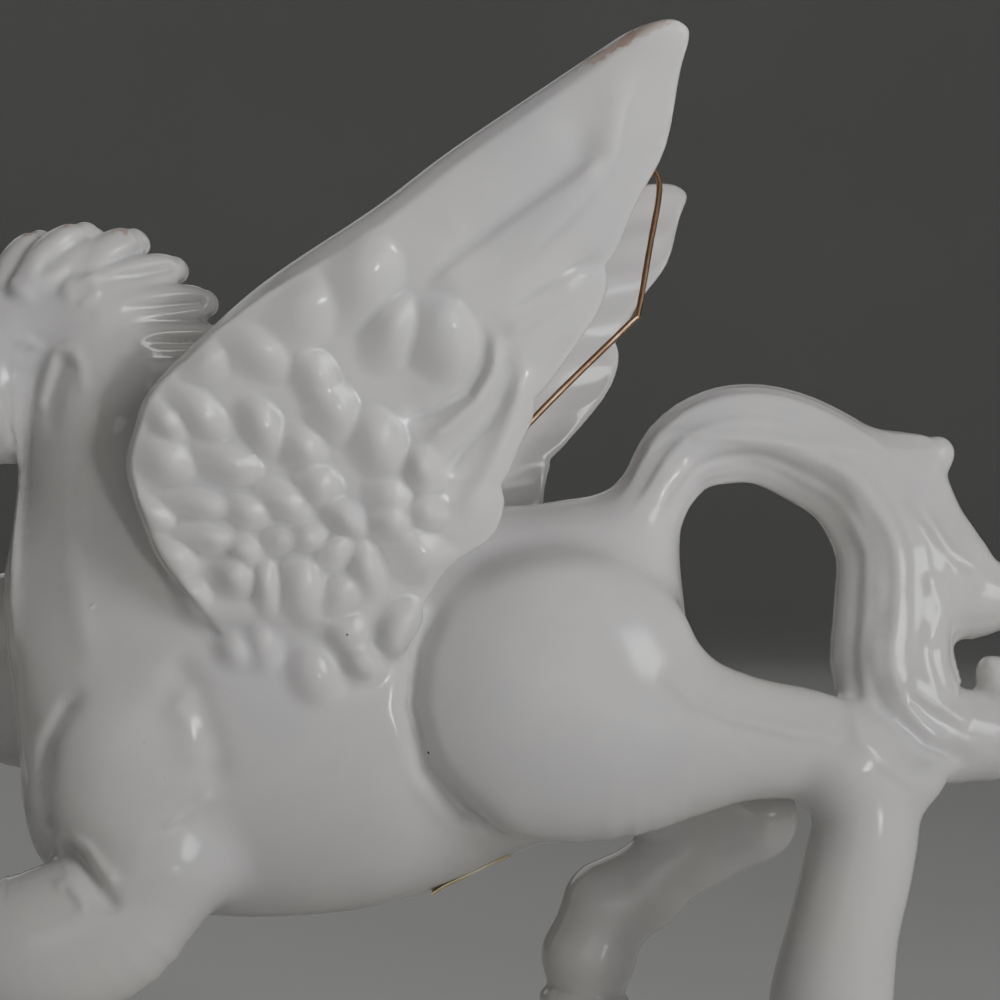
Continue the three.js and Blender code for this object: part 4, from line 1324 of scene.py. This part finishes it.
def glaze_material(colours):
    """White glaze over a tan body: thin, warm and lighter on edges, darker and cool in hollows, partly as
    painted edge light and painted shade, and worn through in places.
    """
    if "Glaze" in bpy.data.materials:
        return bpy.data.materials["Glaze"]
    material, tree, shader = new_material("Glaze")
    mottle = place_mottling(tree, colours.glaze, colours.glaze_shade, patch_scale=45.0, grain_scale=650.0)
    bulge = attribute(tree, "bulge")
    # Hollows take the darker pooled colour: thick glaze, and painted shade where less light falls
    pooled_and_shaded = blend(tree, level(tree, bulge, *POOLING_AND_SHADE), mottle["Colour"], (*colours.pooled_glaze_and_shade, 1))
    # Ridges take the lighter thin colour: thin glaze over the body, and painted edge light
    thinned_and_lit = blend(tree, level(tree, bulge, *THINNING_AND_EDGE_LIGHT), pooled_and_shaded, (*colours.thin_glaze_and_edge_light, 1))
    specked = blend(tree, mottle["Specks"], thinned_and_lit, SPECK_COLOUR)
    ragged = level(tree, mottle["Grain"], *RAGGEDNESS)
    bare = level(tree, work_out(tree, "ADD", attribute(tree, "worn"), ragged), *BARING)
    clay = place_mottling(tree, colours.clay, colours.clay_dark, patch_scale=260.0, grain_scale=1500.0)
    smooth = level(tree, mottle["Patches"], *GLAZE_ROUGHNESS)
    colour = blend(tree, bare, specked, clay["Colour"])
    roughness = blend(tree, bare, smooth, CLAY_ROUGHNESS, "Float")
    feed(tree, shader, Base_Color=colour, Roughness=roughness, IOR=1.5)
    bumped(tree, shader, mottle["Grain"], distance=0.00004, strength=0.35)
    return material


def copper_material(colours):
    """Drawn copper wire, browned in patches."""
    material, tree, shader = new_material("Tarnished copper")
    tones = colours.copper, colours.copper_tarnish
    mottle = place_mottling(tree, *tones, patch_scale=170.0, grain_scale=2600.0)
    roughness = level(tree, mottle["Patches"], *COPPER_ROUGHNESS)
    feed(tree, shader, Base_Color=mottle["Colour"], Roughness=roughness, Metallic=1.0)
    bumped(tree, shader, mottle["Grain"], distance=0.00005, strength=0.4)
    return material


def paper_material(colours):
    """Blank gummed paper, yellowed and stained."""
    material, tree, shader = new_material("Yellowed paper")
    mottle = place_mottling(tree, colours.paper, colours.paper_stain, patch_scale=220.0, grain_scale=3500.0)
    roughness = level(tree, mottle["Grain"], *PAPER_ROUGHNESS)
    feed(tree, shader, Base_Color=mottle["Colour"], Roughness=roughness)
    bumped(tree, shader, mottle["Grain"], distance=0.00008, strength=0.5)
    return material


def floor_material(colour):
    material, tree, shader = new_material("Pale floor")
    darker = [0.96 * channel for channel in colour]
    mottle = place_mottling(tree, colour, darker, patch_scale=3.0, grain_scale=300.0)
    feed(tree, shader, Base_Color=mottle["Colour"], Roughness=0.6)
    return material


# Settings


def colour_property(name, description, default):
    return bpy.props.FloatVectorProperty(
        name=name, description=description, default=default, subtype="COLOR", size=3, min=0.0, max=1.0
    )


def number_property(name, description, default, **more):
    return bpy.props.FloatProperty(name=name, description=description, default=default, **more)


def measure_property(name, description, default, **more):
    return number_property(name, f"{description}, in millimetres", default, **more)


def power_property(name, description, default):
    return number_property(name, f"Power of the {description}", default, unit="POWER")


class FigurineSculpt(bpy.types.PropertyGroup):
    """How finely and how deeply the horse is modelled."""

    body_grain: measure_property("Body Grain", "Mesh size on the smooth castings", 0.55, min=0.3)
    fine_grain: measure_property("Fine Grain", "Mesh size on feathers and hair", 0.45, min=0.25)
    feather_relief: number_property(
        "Feather Relief", "How strongly the feathers stand out", 1.0, subtype="FACTOR"
    )
    strand_depth: measure_property("Strand Depth", "Depth of the tail's combed strands", 0.3)
    lock_depth: measure_property("Lock Depth", "Depth of the hollow along each lock of the mane", 1.0)


class FigurineColours(bpy.types.PropertyGroup):
    """Colours of the glaze, the body under it, the wire and the label."""

    glaze: colour_property("Glaze", "Main tone of the white glaze", (0.69, 0.68, 0.65))
    glaze_shade: colour_property("Glaze Shade", "Tone that the main one drifts into", (0.63, 0.615, 0.615))
    # Pooled glaze darkens hollows, partly as painted shade; thin glaze lightens edges, partly as painted
    # edge light
    pooled_glaze_and_shade: colour_property("Pooled Glaze", "Thick glaze in hollows", (0.50, 0.505, 0.51))
    thin_glaze_and_edge_light: colour_property("Thin Glaze", "Thin glaze on edges", (0.74, 0.72, 0.68))
    clay: colour_property("Clay", "Fired body where the glaze has worn off", (0.56, 0.49, 0.43))
    clay_dark: colour_property("Dark Clay", "Stained patches of the bare body", (0.47, 0.33, 0.27))
    copper: colour_property("Copper", "Bright copper", (0.62, 0.42, 0.27))
    copper_tarnish: colour_property("Copper Tarnish", "Browned copper", (0.36, 0.21, 0.13))
    paper: colour_property("Paper", "Yellowed label paper", (0.76, 0.72, 0.55))
    paper_stain: colour_property("Paper Stain", "Stains on the label", (0.58, 0.49, 0.28))


class FigurineStage(bpy.types.PropertyGroup):
    """Floor, light and camera."""

    floor: colour_property("Floor", "Pale studio floor", (0.69, 0.69, 0.68))
    floor_radius: number_property(
        "Floor Radius", "Flat part of the studio dish", 1.5, unit="LENGTH", subtype="DISTANCE"
    )
    key_light: power_property("Key Light", "softbox in front, beside the tail", 4.2)
    top_light: power_property("Top Light", "softbox overhead", 0.35)
    fill_light: power_property("Fill Light", "low softbox in front", 0.5)
    wing_light: power_property("Wing Light", "gridded softbox on the raised wing", 0.022)
    back_light: power_property("Back Light", "softbox behind the horse", 1.5)
    head_light: power_property("Head Light", "softbox before the horse's head", 0.8)
    sky: number_property("Sky", "Strength of the even light all round", 0.04, subtype="FACTOR")


class FigurineSettings(bpy.types.PropertyGroup):
    """Everything that a user can change."""

    sculpt: bpy.props.PointerProperty(type=FigurineSculpt)
    colours: bpy.props.PointerProperty(type=FigurineColours)
    stage: bpy.props.PointerProperty(type=FigurineStage)


# Pieces


def wear(node, points):
    """How far the glaze is worn at each of a casting's points."""
    x, _, z = points.T
    worn = np.zeros(len(points))
    for path, width, strength in WORN.get(node, ()):
        place = on_wing if node == "left_wing" else lambda px, py: seen(px, py, 0)
        worn = worn + Line([place(*point)[:2] for point in path], width, strength)(x, z)
    return worn


def make_glazed(context, nodes, grain):
    """Sculpts and glazes some castings of the horse."""
    settings = context.scene.figurine
    horse = Sculpture(settings.sculpt)
    step = grain * 1
    for node in nodes:
        low, high = horse_box(node)
        box = low - BOX_MARGIN, high + BOX_MARGIN
        piece, points = sculpted(f"glazed_{node}", horse.piece(node), *box, step)
        store(piece, "worn", wear(node, points))
        fit_out(piece, node, "figure", glaze_material(settings.colours))
    return {"FINISHED"}


class FIGURINE_OT_body(bpy.types.Operator):
    """Sculpt the torso and the neck"""

    bl_idname = "figurine.body"
    bl_label = "Body"

    def execute(self, context):
        return make_glazed(context, ("torso", "neck"), context.scene.figurine.sculpt.body_grain)


class FIGURINE_OT_head(bpy.types.Operator):
    """Sculpt the head, the ears, the forelock and the mane"""

    bl_idname = "figurine.head"
    bl_label = "Head and Mane"

    def execute(self, context):
        nodes = "head", "left_ear", "right_ear", "forelock", "mane"
        return make_glazed(context, nodes, context.scene.figurine.sculpt.fine_grain)


class FIGURINE_OT_wings(bpy.types.Operator):
    """Sculpt the two feathered wings"""

    bl_idname = "figurine.wings"
    bl_label = "Wings"

    def execute(self, context):
        return make_glazed(context, ("left_wing", "right_wing"), context.scene.figurine.sculpt.fine_grain)


class FIGURINE_OT_legs(bpy.types.Operator):
    """Sculpt the four legs"""

    bl_idname = "figurine.legs"
    bl_label = "Legs"

    def execute(self, context):
        nodes = "left_hind_leg", "right_hind_leg", "left_foreleg", "right_foreleg"
        return make_glazed(context, nodes, context.scene.figurine.sculpt.body_grain)


class FIGURINE_OT_tail(bpy.types.Operator):
    """Sculpt the combed tail"""

    bl_idname = "figurine.tail"
    bl_label = "Tail"

    def execute(self, context):
        return make_glazed(context, ("tail",), context.scene.figurine.sculpt.fine_grain)


def ringed_faces(rings, sides):
    """Quads between rings of points that follow one another."""
    ring, side = np.meshgrid(np.arange(rings - 1), np.arange(sides), indexing="ij")
    here, beside = ring * sides + side, ring * sides + (side + 1) % sides
    return np.stack([here, beside, beside + sides, here + sides], axis=-1).reshape(-1, 4)


def turned(profile, sides):
    """Rings of points round an upright axis, from rows of (half length, half width, height)."""
    turn = np.linspace(0, 2 * math.pi, sides, endpoint=False)
    rings = []
    for along, across, z in profile:
        rings.append(np.stack([along * np.cos(turn), across * np.sin(turn), np.full(sides, z)], axis=1))
    return np.concatenate(rings)


def plinth_profile(height):
    """Rows of (inset from the edge, shrink towards the middle, height), from the underside to the top."""
    edge, foot = PLINTH_EDGE, PLINTH_FOOT
    quarter = np.linspace(0, math.pi / 2, ROUNDING_STEPS)
    profile = [(PLINTH_RIM, shrink, z) for shrink, z in PLINTH_UNDERSIDE]
    profile += [(foot * (1 - math.sin(a)), 1, foot * (1 - math.cos(a))) for a in quarter]
    profile += [(edge * (1 - math.cos(a)), 1, height - edge * (1 - math.sin(a))) for a in quarter]
    return profile + [(edge, shrink, height) for shrink in PLINTH_TOP]


class FIGURINE_OT_plinth(bpy.types.Operator):
    """Turn the oval plinth with its wiped, unglazed foot"""

    bl_idname = "figurine.plinth"
    bl_label = "Plinth"

    def execute(self, context):
        low, high = (np.array(corner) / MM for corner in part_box("base"))
        length, width, height = (high - low) / 2 * (1, 1, 2)
        rows = [
            ((length - inset) * shrink, (width - inset) * shrink, z)
            for inset, shrink, z in plinth_profile(height)
        ]
        points = turned(rows, PLINTH_SIDES)
        piece = closed_object("glazed_base", points, PLINTH_SIDES)
        store(piece, "bulge", np.append(np.zeros(len(points)), [0, 0]))
        store(piece, "worn", np.append(WIPED * ramp(points[:, 2], *WIPED_HEIGHTS), [1, 0]))
        fit_out(piece, "base", "figure", glaze_material(context.scene.figurine.colours))
        return {"FINISHED"}


def closed_object(name, points, sides):
    """A mesh object of rings, closed by a point in the middle of the first and of the last."""
    tip = len(points)
    rings = tip // sides
    faces = ringed_faces(rings, sides)
    first, last = points[:sides].mean(0), points[-sides:].mean(0)
    points = np.vstack([points, first, last])
    side = np.arange(sides)
    nearer, further = side, (side + 1) % sides
    top = (rings - 1) * sides
    caps = np.concatenate([
        np.stack([np.full(sides, tip), further, nearer], axis=1),
        np.stack([np.full(sides, tip + 1), top + nearer, top + further], axis=1),
    ])
    triangles = np.concatenate([faces[:, [0, 1, 2]], faces[:, [0, 2, 3]], caps])
    return mesh_object(name, points, triangles)


def wire_object(name, path):
    """Round wire with domed ends, drawn smoothly through a list of points."""
    radius = WIRE_DIAMETER / 2
    path = smooth_rows(path, 6)
    along = unit(np.gradient(path, axis=0))
    rings = []
    across = np.array([0.3, 1.0, 0.2])
    turn = np.linspace(0, 2 * math.pi, WIRE_SIDES, endpoint=False)[:, None]
    dome = np.linspace(0.1, math.pi / 2, 5)

    def ring(centre, direction, size):
        side = np.cross(direction, across)
        rings.append(centre + size * (np.cos(turn) * across + np.sin(turn) * side))

    for i, (point, direction) in enumerate(zip(path, along)):
        across = unit(across - (across @ direction) * direction)
        if i == 0:
            for angle in dome[:-1]:
                ring(point - direction * radius * math.cos(angle), direction, radius * math.sin(angle))
        ring(point, direction, radius)
        if i == len(path) - 1:
            for angle in dome[-2::-1]:
                ring(point + direction * radius * math.cos(angle), direction, radius * math.sin(angle))
    return closed_object(name, np.concatenate(rings) + (0, 0, SOLE_HEIGHT), WIRE_SIDES)


def eye_points(centre, start):
    """An open eye in a wire's end, round a centre."""
    angles = start + WIRE_EYE_TURNS * 2 * math.pi * np.linspace(0, 1, 9)
    zero = np.zeros_like(angles)
    return np.array(centre) + WIRE_EYE_RADIUS * np.stack([np.cos(angles), zero, np.sin(angles)], axis=1)


def hanging_wire_path():
    """A shank between an eye round the staple's bar and an eye above the far wing."""
    shank = np.array(STAPLE_BAR) + np.array(WIRE_SHANK)
    rising = math.atan2(WIRE_SHANK[0][2], WIRE_SHANK[0][0])
    end = unit(shank[-1] - shank[-2])
    arriving = math.atan2(-end[2], -end[0])
    lower_eye = eye_points(STAPLE_BAR, rising + LOWER_EYE_START)
    upper = shank[-1] + end * WIRE_EYE_RADIUS * UPPER_EYE_AWAY
    return np.vstack([lower_eye, shank, eye_points(upper, arriving + UPPER_EYE_START)])


def staple_path():
    """Up out of the back, across as the bar, and down again."""
    x, _, top = STAPLE_BAR
    half, bend = STAPLE_HALF_SPAN, WIRE_DIAMETER
    leg = [(half, STAPLE_FOOT), (half, top - STAPLE_LEG), (half, top - bend)]
    leg += [(half - 0.3 * bend, top - 0.3 * bend), (half - bend, top)]
    return [(x, -y, z) for y, z in leg] + [(x, y, z) for y, z in reversed(leg)]


class FIGURINE_OT_wires(bpy.types.Operator):
    """Bend the copper staple and the hanging wire"""

    bl_idname = "figurine.wires"
    bl_label = "Wires"

    def execute(self, context):
        copper = copper_material(context.scene.figurine.colours)
        wire = wire_object("copper_hanging_wire", hanging_wire_path())
        fit_out(wire, "hanging_wire", "hanger", copper)
        staple = wire_object("copper_wire_staple", staple_path())
        fit_out(staple, "wire_staple", "figure", copper)
        return {"FINISHED"}


def label_points(horse):
    """Points of the label's outer face, then of its inner one, laid on the belly."""
    places = np.linspace(0, 1, LABEL_STEPS), np.linspace(*LABEL_ARC, LABEL_STEPS)
    along, turn = (grid.reshape(-1, 1) for grid in np.meshgrid(*places, indexing="ij"))
    rows = np.array(TORSO, float)
    x = LABEL_FRONT + LABEL_LENGTH * along
    top, bottom, half = (np.interp(x, rows[:, 0], rows[:, c]) for c in (1, 2, 3))
    z = (top + bottom) / 2 - (top - bottom) / 2 * np.cos(turn)
    skin = np.hstack([x, half * np.sin(turn), z])
    for _ in range(3):
        skin, outward = settle(horse.surface, skin, 1.0)
    lift = LABEL_PASTE + LABEL_LIFT * (1 - along) ** LABEL_CURL * (1 - turn)
    inner = skin + outward * lift
    outer = inner + outward * LABEL_THICKNESS
    return np.concatenate([outer, inner]) + (0, 0, SOLE_HEIGHT)


def sheet_faces(steps):
    """Faces of a closed sheet with a grid of steps by steps points on each of its two faces."""
    i, j = np.meshgrid(np.arange(steps - 1), np.arange(steps - 1), indexing="ij")
    here = (i * steps + j).ravel()
    sheet = np.stack([here, here + 1, here + steps + 1, here + steps], axis=1)
    rim = np.concatenate([
        np.arange(steps),
        np.arange(2, steps + 1) * steps - 1,
        np.arange(steps * steps - 2, steps * (steps - 1) - 1, -1),
        np.arange(steps - 2, 0, -1) * steps,
    ])
    ahead = np.roll(rim, -1)
    count = steps * steps
    edge = np.stack([rim, ahead, ahead + count, rim + count], axis=1)
    return np.concatenate([sheet[:, ::-1], sheet + count, edge])


class FIGURINE_OT_label(bpy.types.Operator):
    """Paste the blank label under the belly, with its front edge lifting"""

    bl_idname = "figurine.label"
    bl_label = "Label"

    def execute(self, context):
        points = label_points(Sculpture(context.scene.figurine.sculpt))
        piece = mesh_object("paper_belly_label", points, sheet_faces(LABEL_STEPS))
        paper = paper_material(context.scene.figurine.colours)
        fit_out(piece, "belly_label", "figure", paper)
        return {"FINISHED"}


def softbox(name, power, place, target, size, spread):
    lamp = bpy.data.lights.new(name, "AREA")
    lamp.shape, lamp.size, lamp.size_y = "RECTANGLE", *size
    lamp.energy, lamp.spread = power, math.radians(spread)
    light = bpy.data.objects.new(name, lamp)
    light.location = place
    light.rotation_euler = (Vector(target) - Vector(place)).to_track_quat("-Z", "Y").to_euler()
    bpy.context.scene.collection.objects.link(light)


def lay_floor(stage):
    """A wide dish with an upturned edge."""
    radius, bend = stage.floor_radius, FLOOR_BEND
    profile = [(FLOOR_PINHOLE, 0.0), (radius, 0.0)]
    for angle in np.linspace(0, math.pi / 2, FLOOR_STEPS)[1:]:
        profile.append((radius + bend * math.sin(angle), bend * (1 - math.cos(angle))))
    profile.append((radius + bend, FLOOR_HEIGHT))
    points = turned([(out, out, z) for out, z in profile], FLOOR_SIDES) / MM
    floor = mesh_object("studio_floor", points, ringed_faces(len(profile), FLOOR_SIDES)[:, ::-1])
    floor.data.materials.append(floor_material(stage.floor))


def set_lights(scene, stage):
    for name, box in SOFTBOXES.items():
        softbox(f"{name}_softbox", getattr(stage, f"{name}_light"), *box)
    world = bpy.data.worlds.new("Soft light")
    world.use_nodes = True
    sky = world.node_tree.nodes["Background"]
    feed(world.node_tree, sky, Strength=stage.sky, Color=(1, 1, 1, 1))
    scene.world = world


def set_camera(scene):
    camera = bpy.data.cameras.new("photograph_camera")
    camera.lens, camera.sensor_width = CAMERA_LENS, SENSOR_WIDTH
    eye = bpy.data.objects.new("photograph_camera", camera)
    eye.location = (0.0, -CAMERA_DISTANCE * MM, CAMERA_HEIGHT * MM)
    eye.rotation_euler = (math.pi / 2, 0.0, 0.0)
    scene.collection.objects.link(eye)
    scene.camera = eye


class FIGURINE_OT_stage(bpy.types.Operator):
    """Lay the floor and set the light and the camera"""

    bl_idname = "figurine.stage"
    bl_label = "Stage"

    def execute(self, context):
        lay_floor(context.scene.figurine.stage)
        set_lights(context.scene, context.scene.figurine.stage)
        set_camera(context.scene)
        return {"FINISHED"}


class FIGURINE_PT_panel(bpy.types.Panel):
    """Sidebar panel that lists the pieces and the settings"""

    bl_idname = "FIGURINE_PT_panel"
    bl_label = "Winged Horse Figurine"
    bl_space_type = "VIEW_3D"
    bl_region_type = "UI"
    bl_category = "Figurine"

    def draw(self, context):
        for operator in OPERATORS:
            self.layout.operator(operator.bl_idname)
        settings = context.scene.figurine
        for group in (settings.sculpt, settings.colours, settings.stage):
            box = self.layout.box()
            for name in group.__annotations__:
                box.prop(group, name)


GROUPS = (FigurineSculpt, FigurineColours, FigurineStage, FigurineSettings)
OPERATORS = (
    FIGURINE_OT_stage,
    FIGURINE_OT_body,
    FIGURINE_OT_head,
    FIGURINE_OT_wings,
    FIGURINE_OT_legs,
    FIGURINE_OT_tail,
    FIGURINE_OT_plinth,
    FIGURINE_OT_wires,
    FIGURINE_OT_label,
)
CLASSES = (*GROUPS, *OPERATORS, FIGURINE_PT_panel)


def register():
    for cls in CLASSES:
        bpy.utils.register_class(cls)
    bpy.types.Scene.figurine = bpy.props.PointerProperty(type=FigurineSettings)


def unregister():
    del bpy.types.Scene.figurine
    for cls in reversed(CLASSES):
        bpy.utils.unregister_class(cls)


def main():
    register()
    bpy.ops.figurine.stage()
    bpy.ops.figurine.body()
    bpy.ops.figurine.head()
    bpy.ops.figurine.wings()
    bpy.ops.figurine.legs()
    bpy.ops.figurine.tail()
    bpy.ops.figurine.plinth()
    bpy.ops.figurine.wires()
    bpy.ops.figurine.label()


if __name__ == "__main__":
    main()
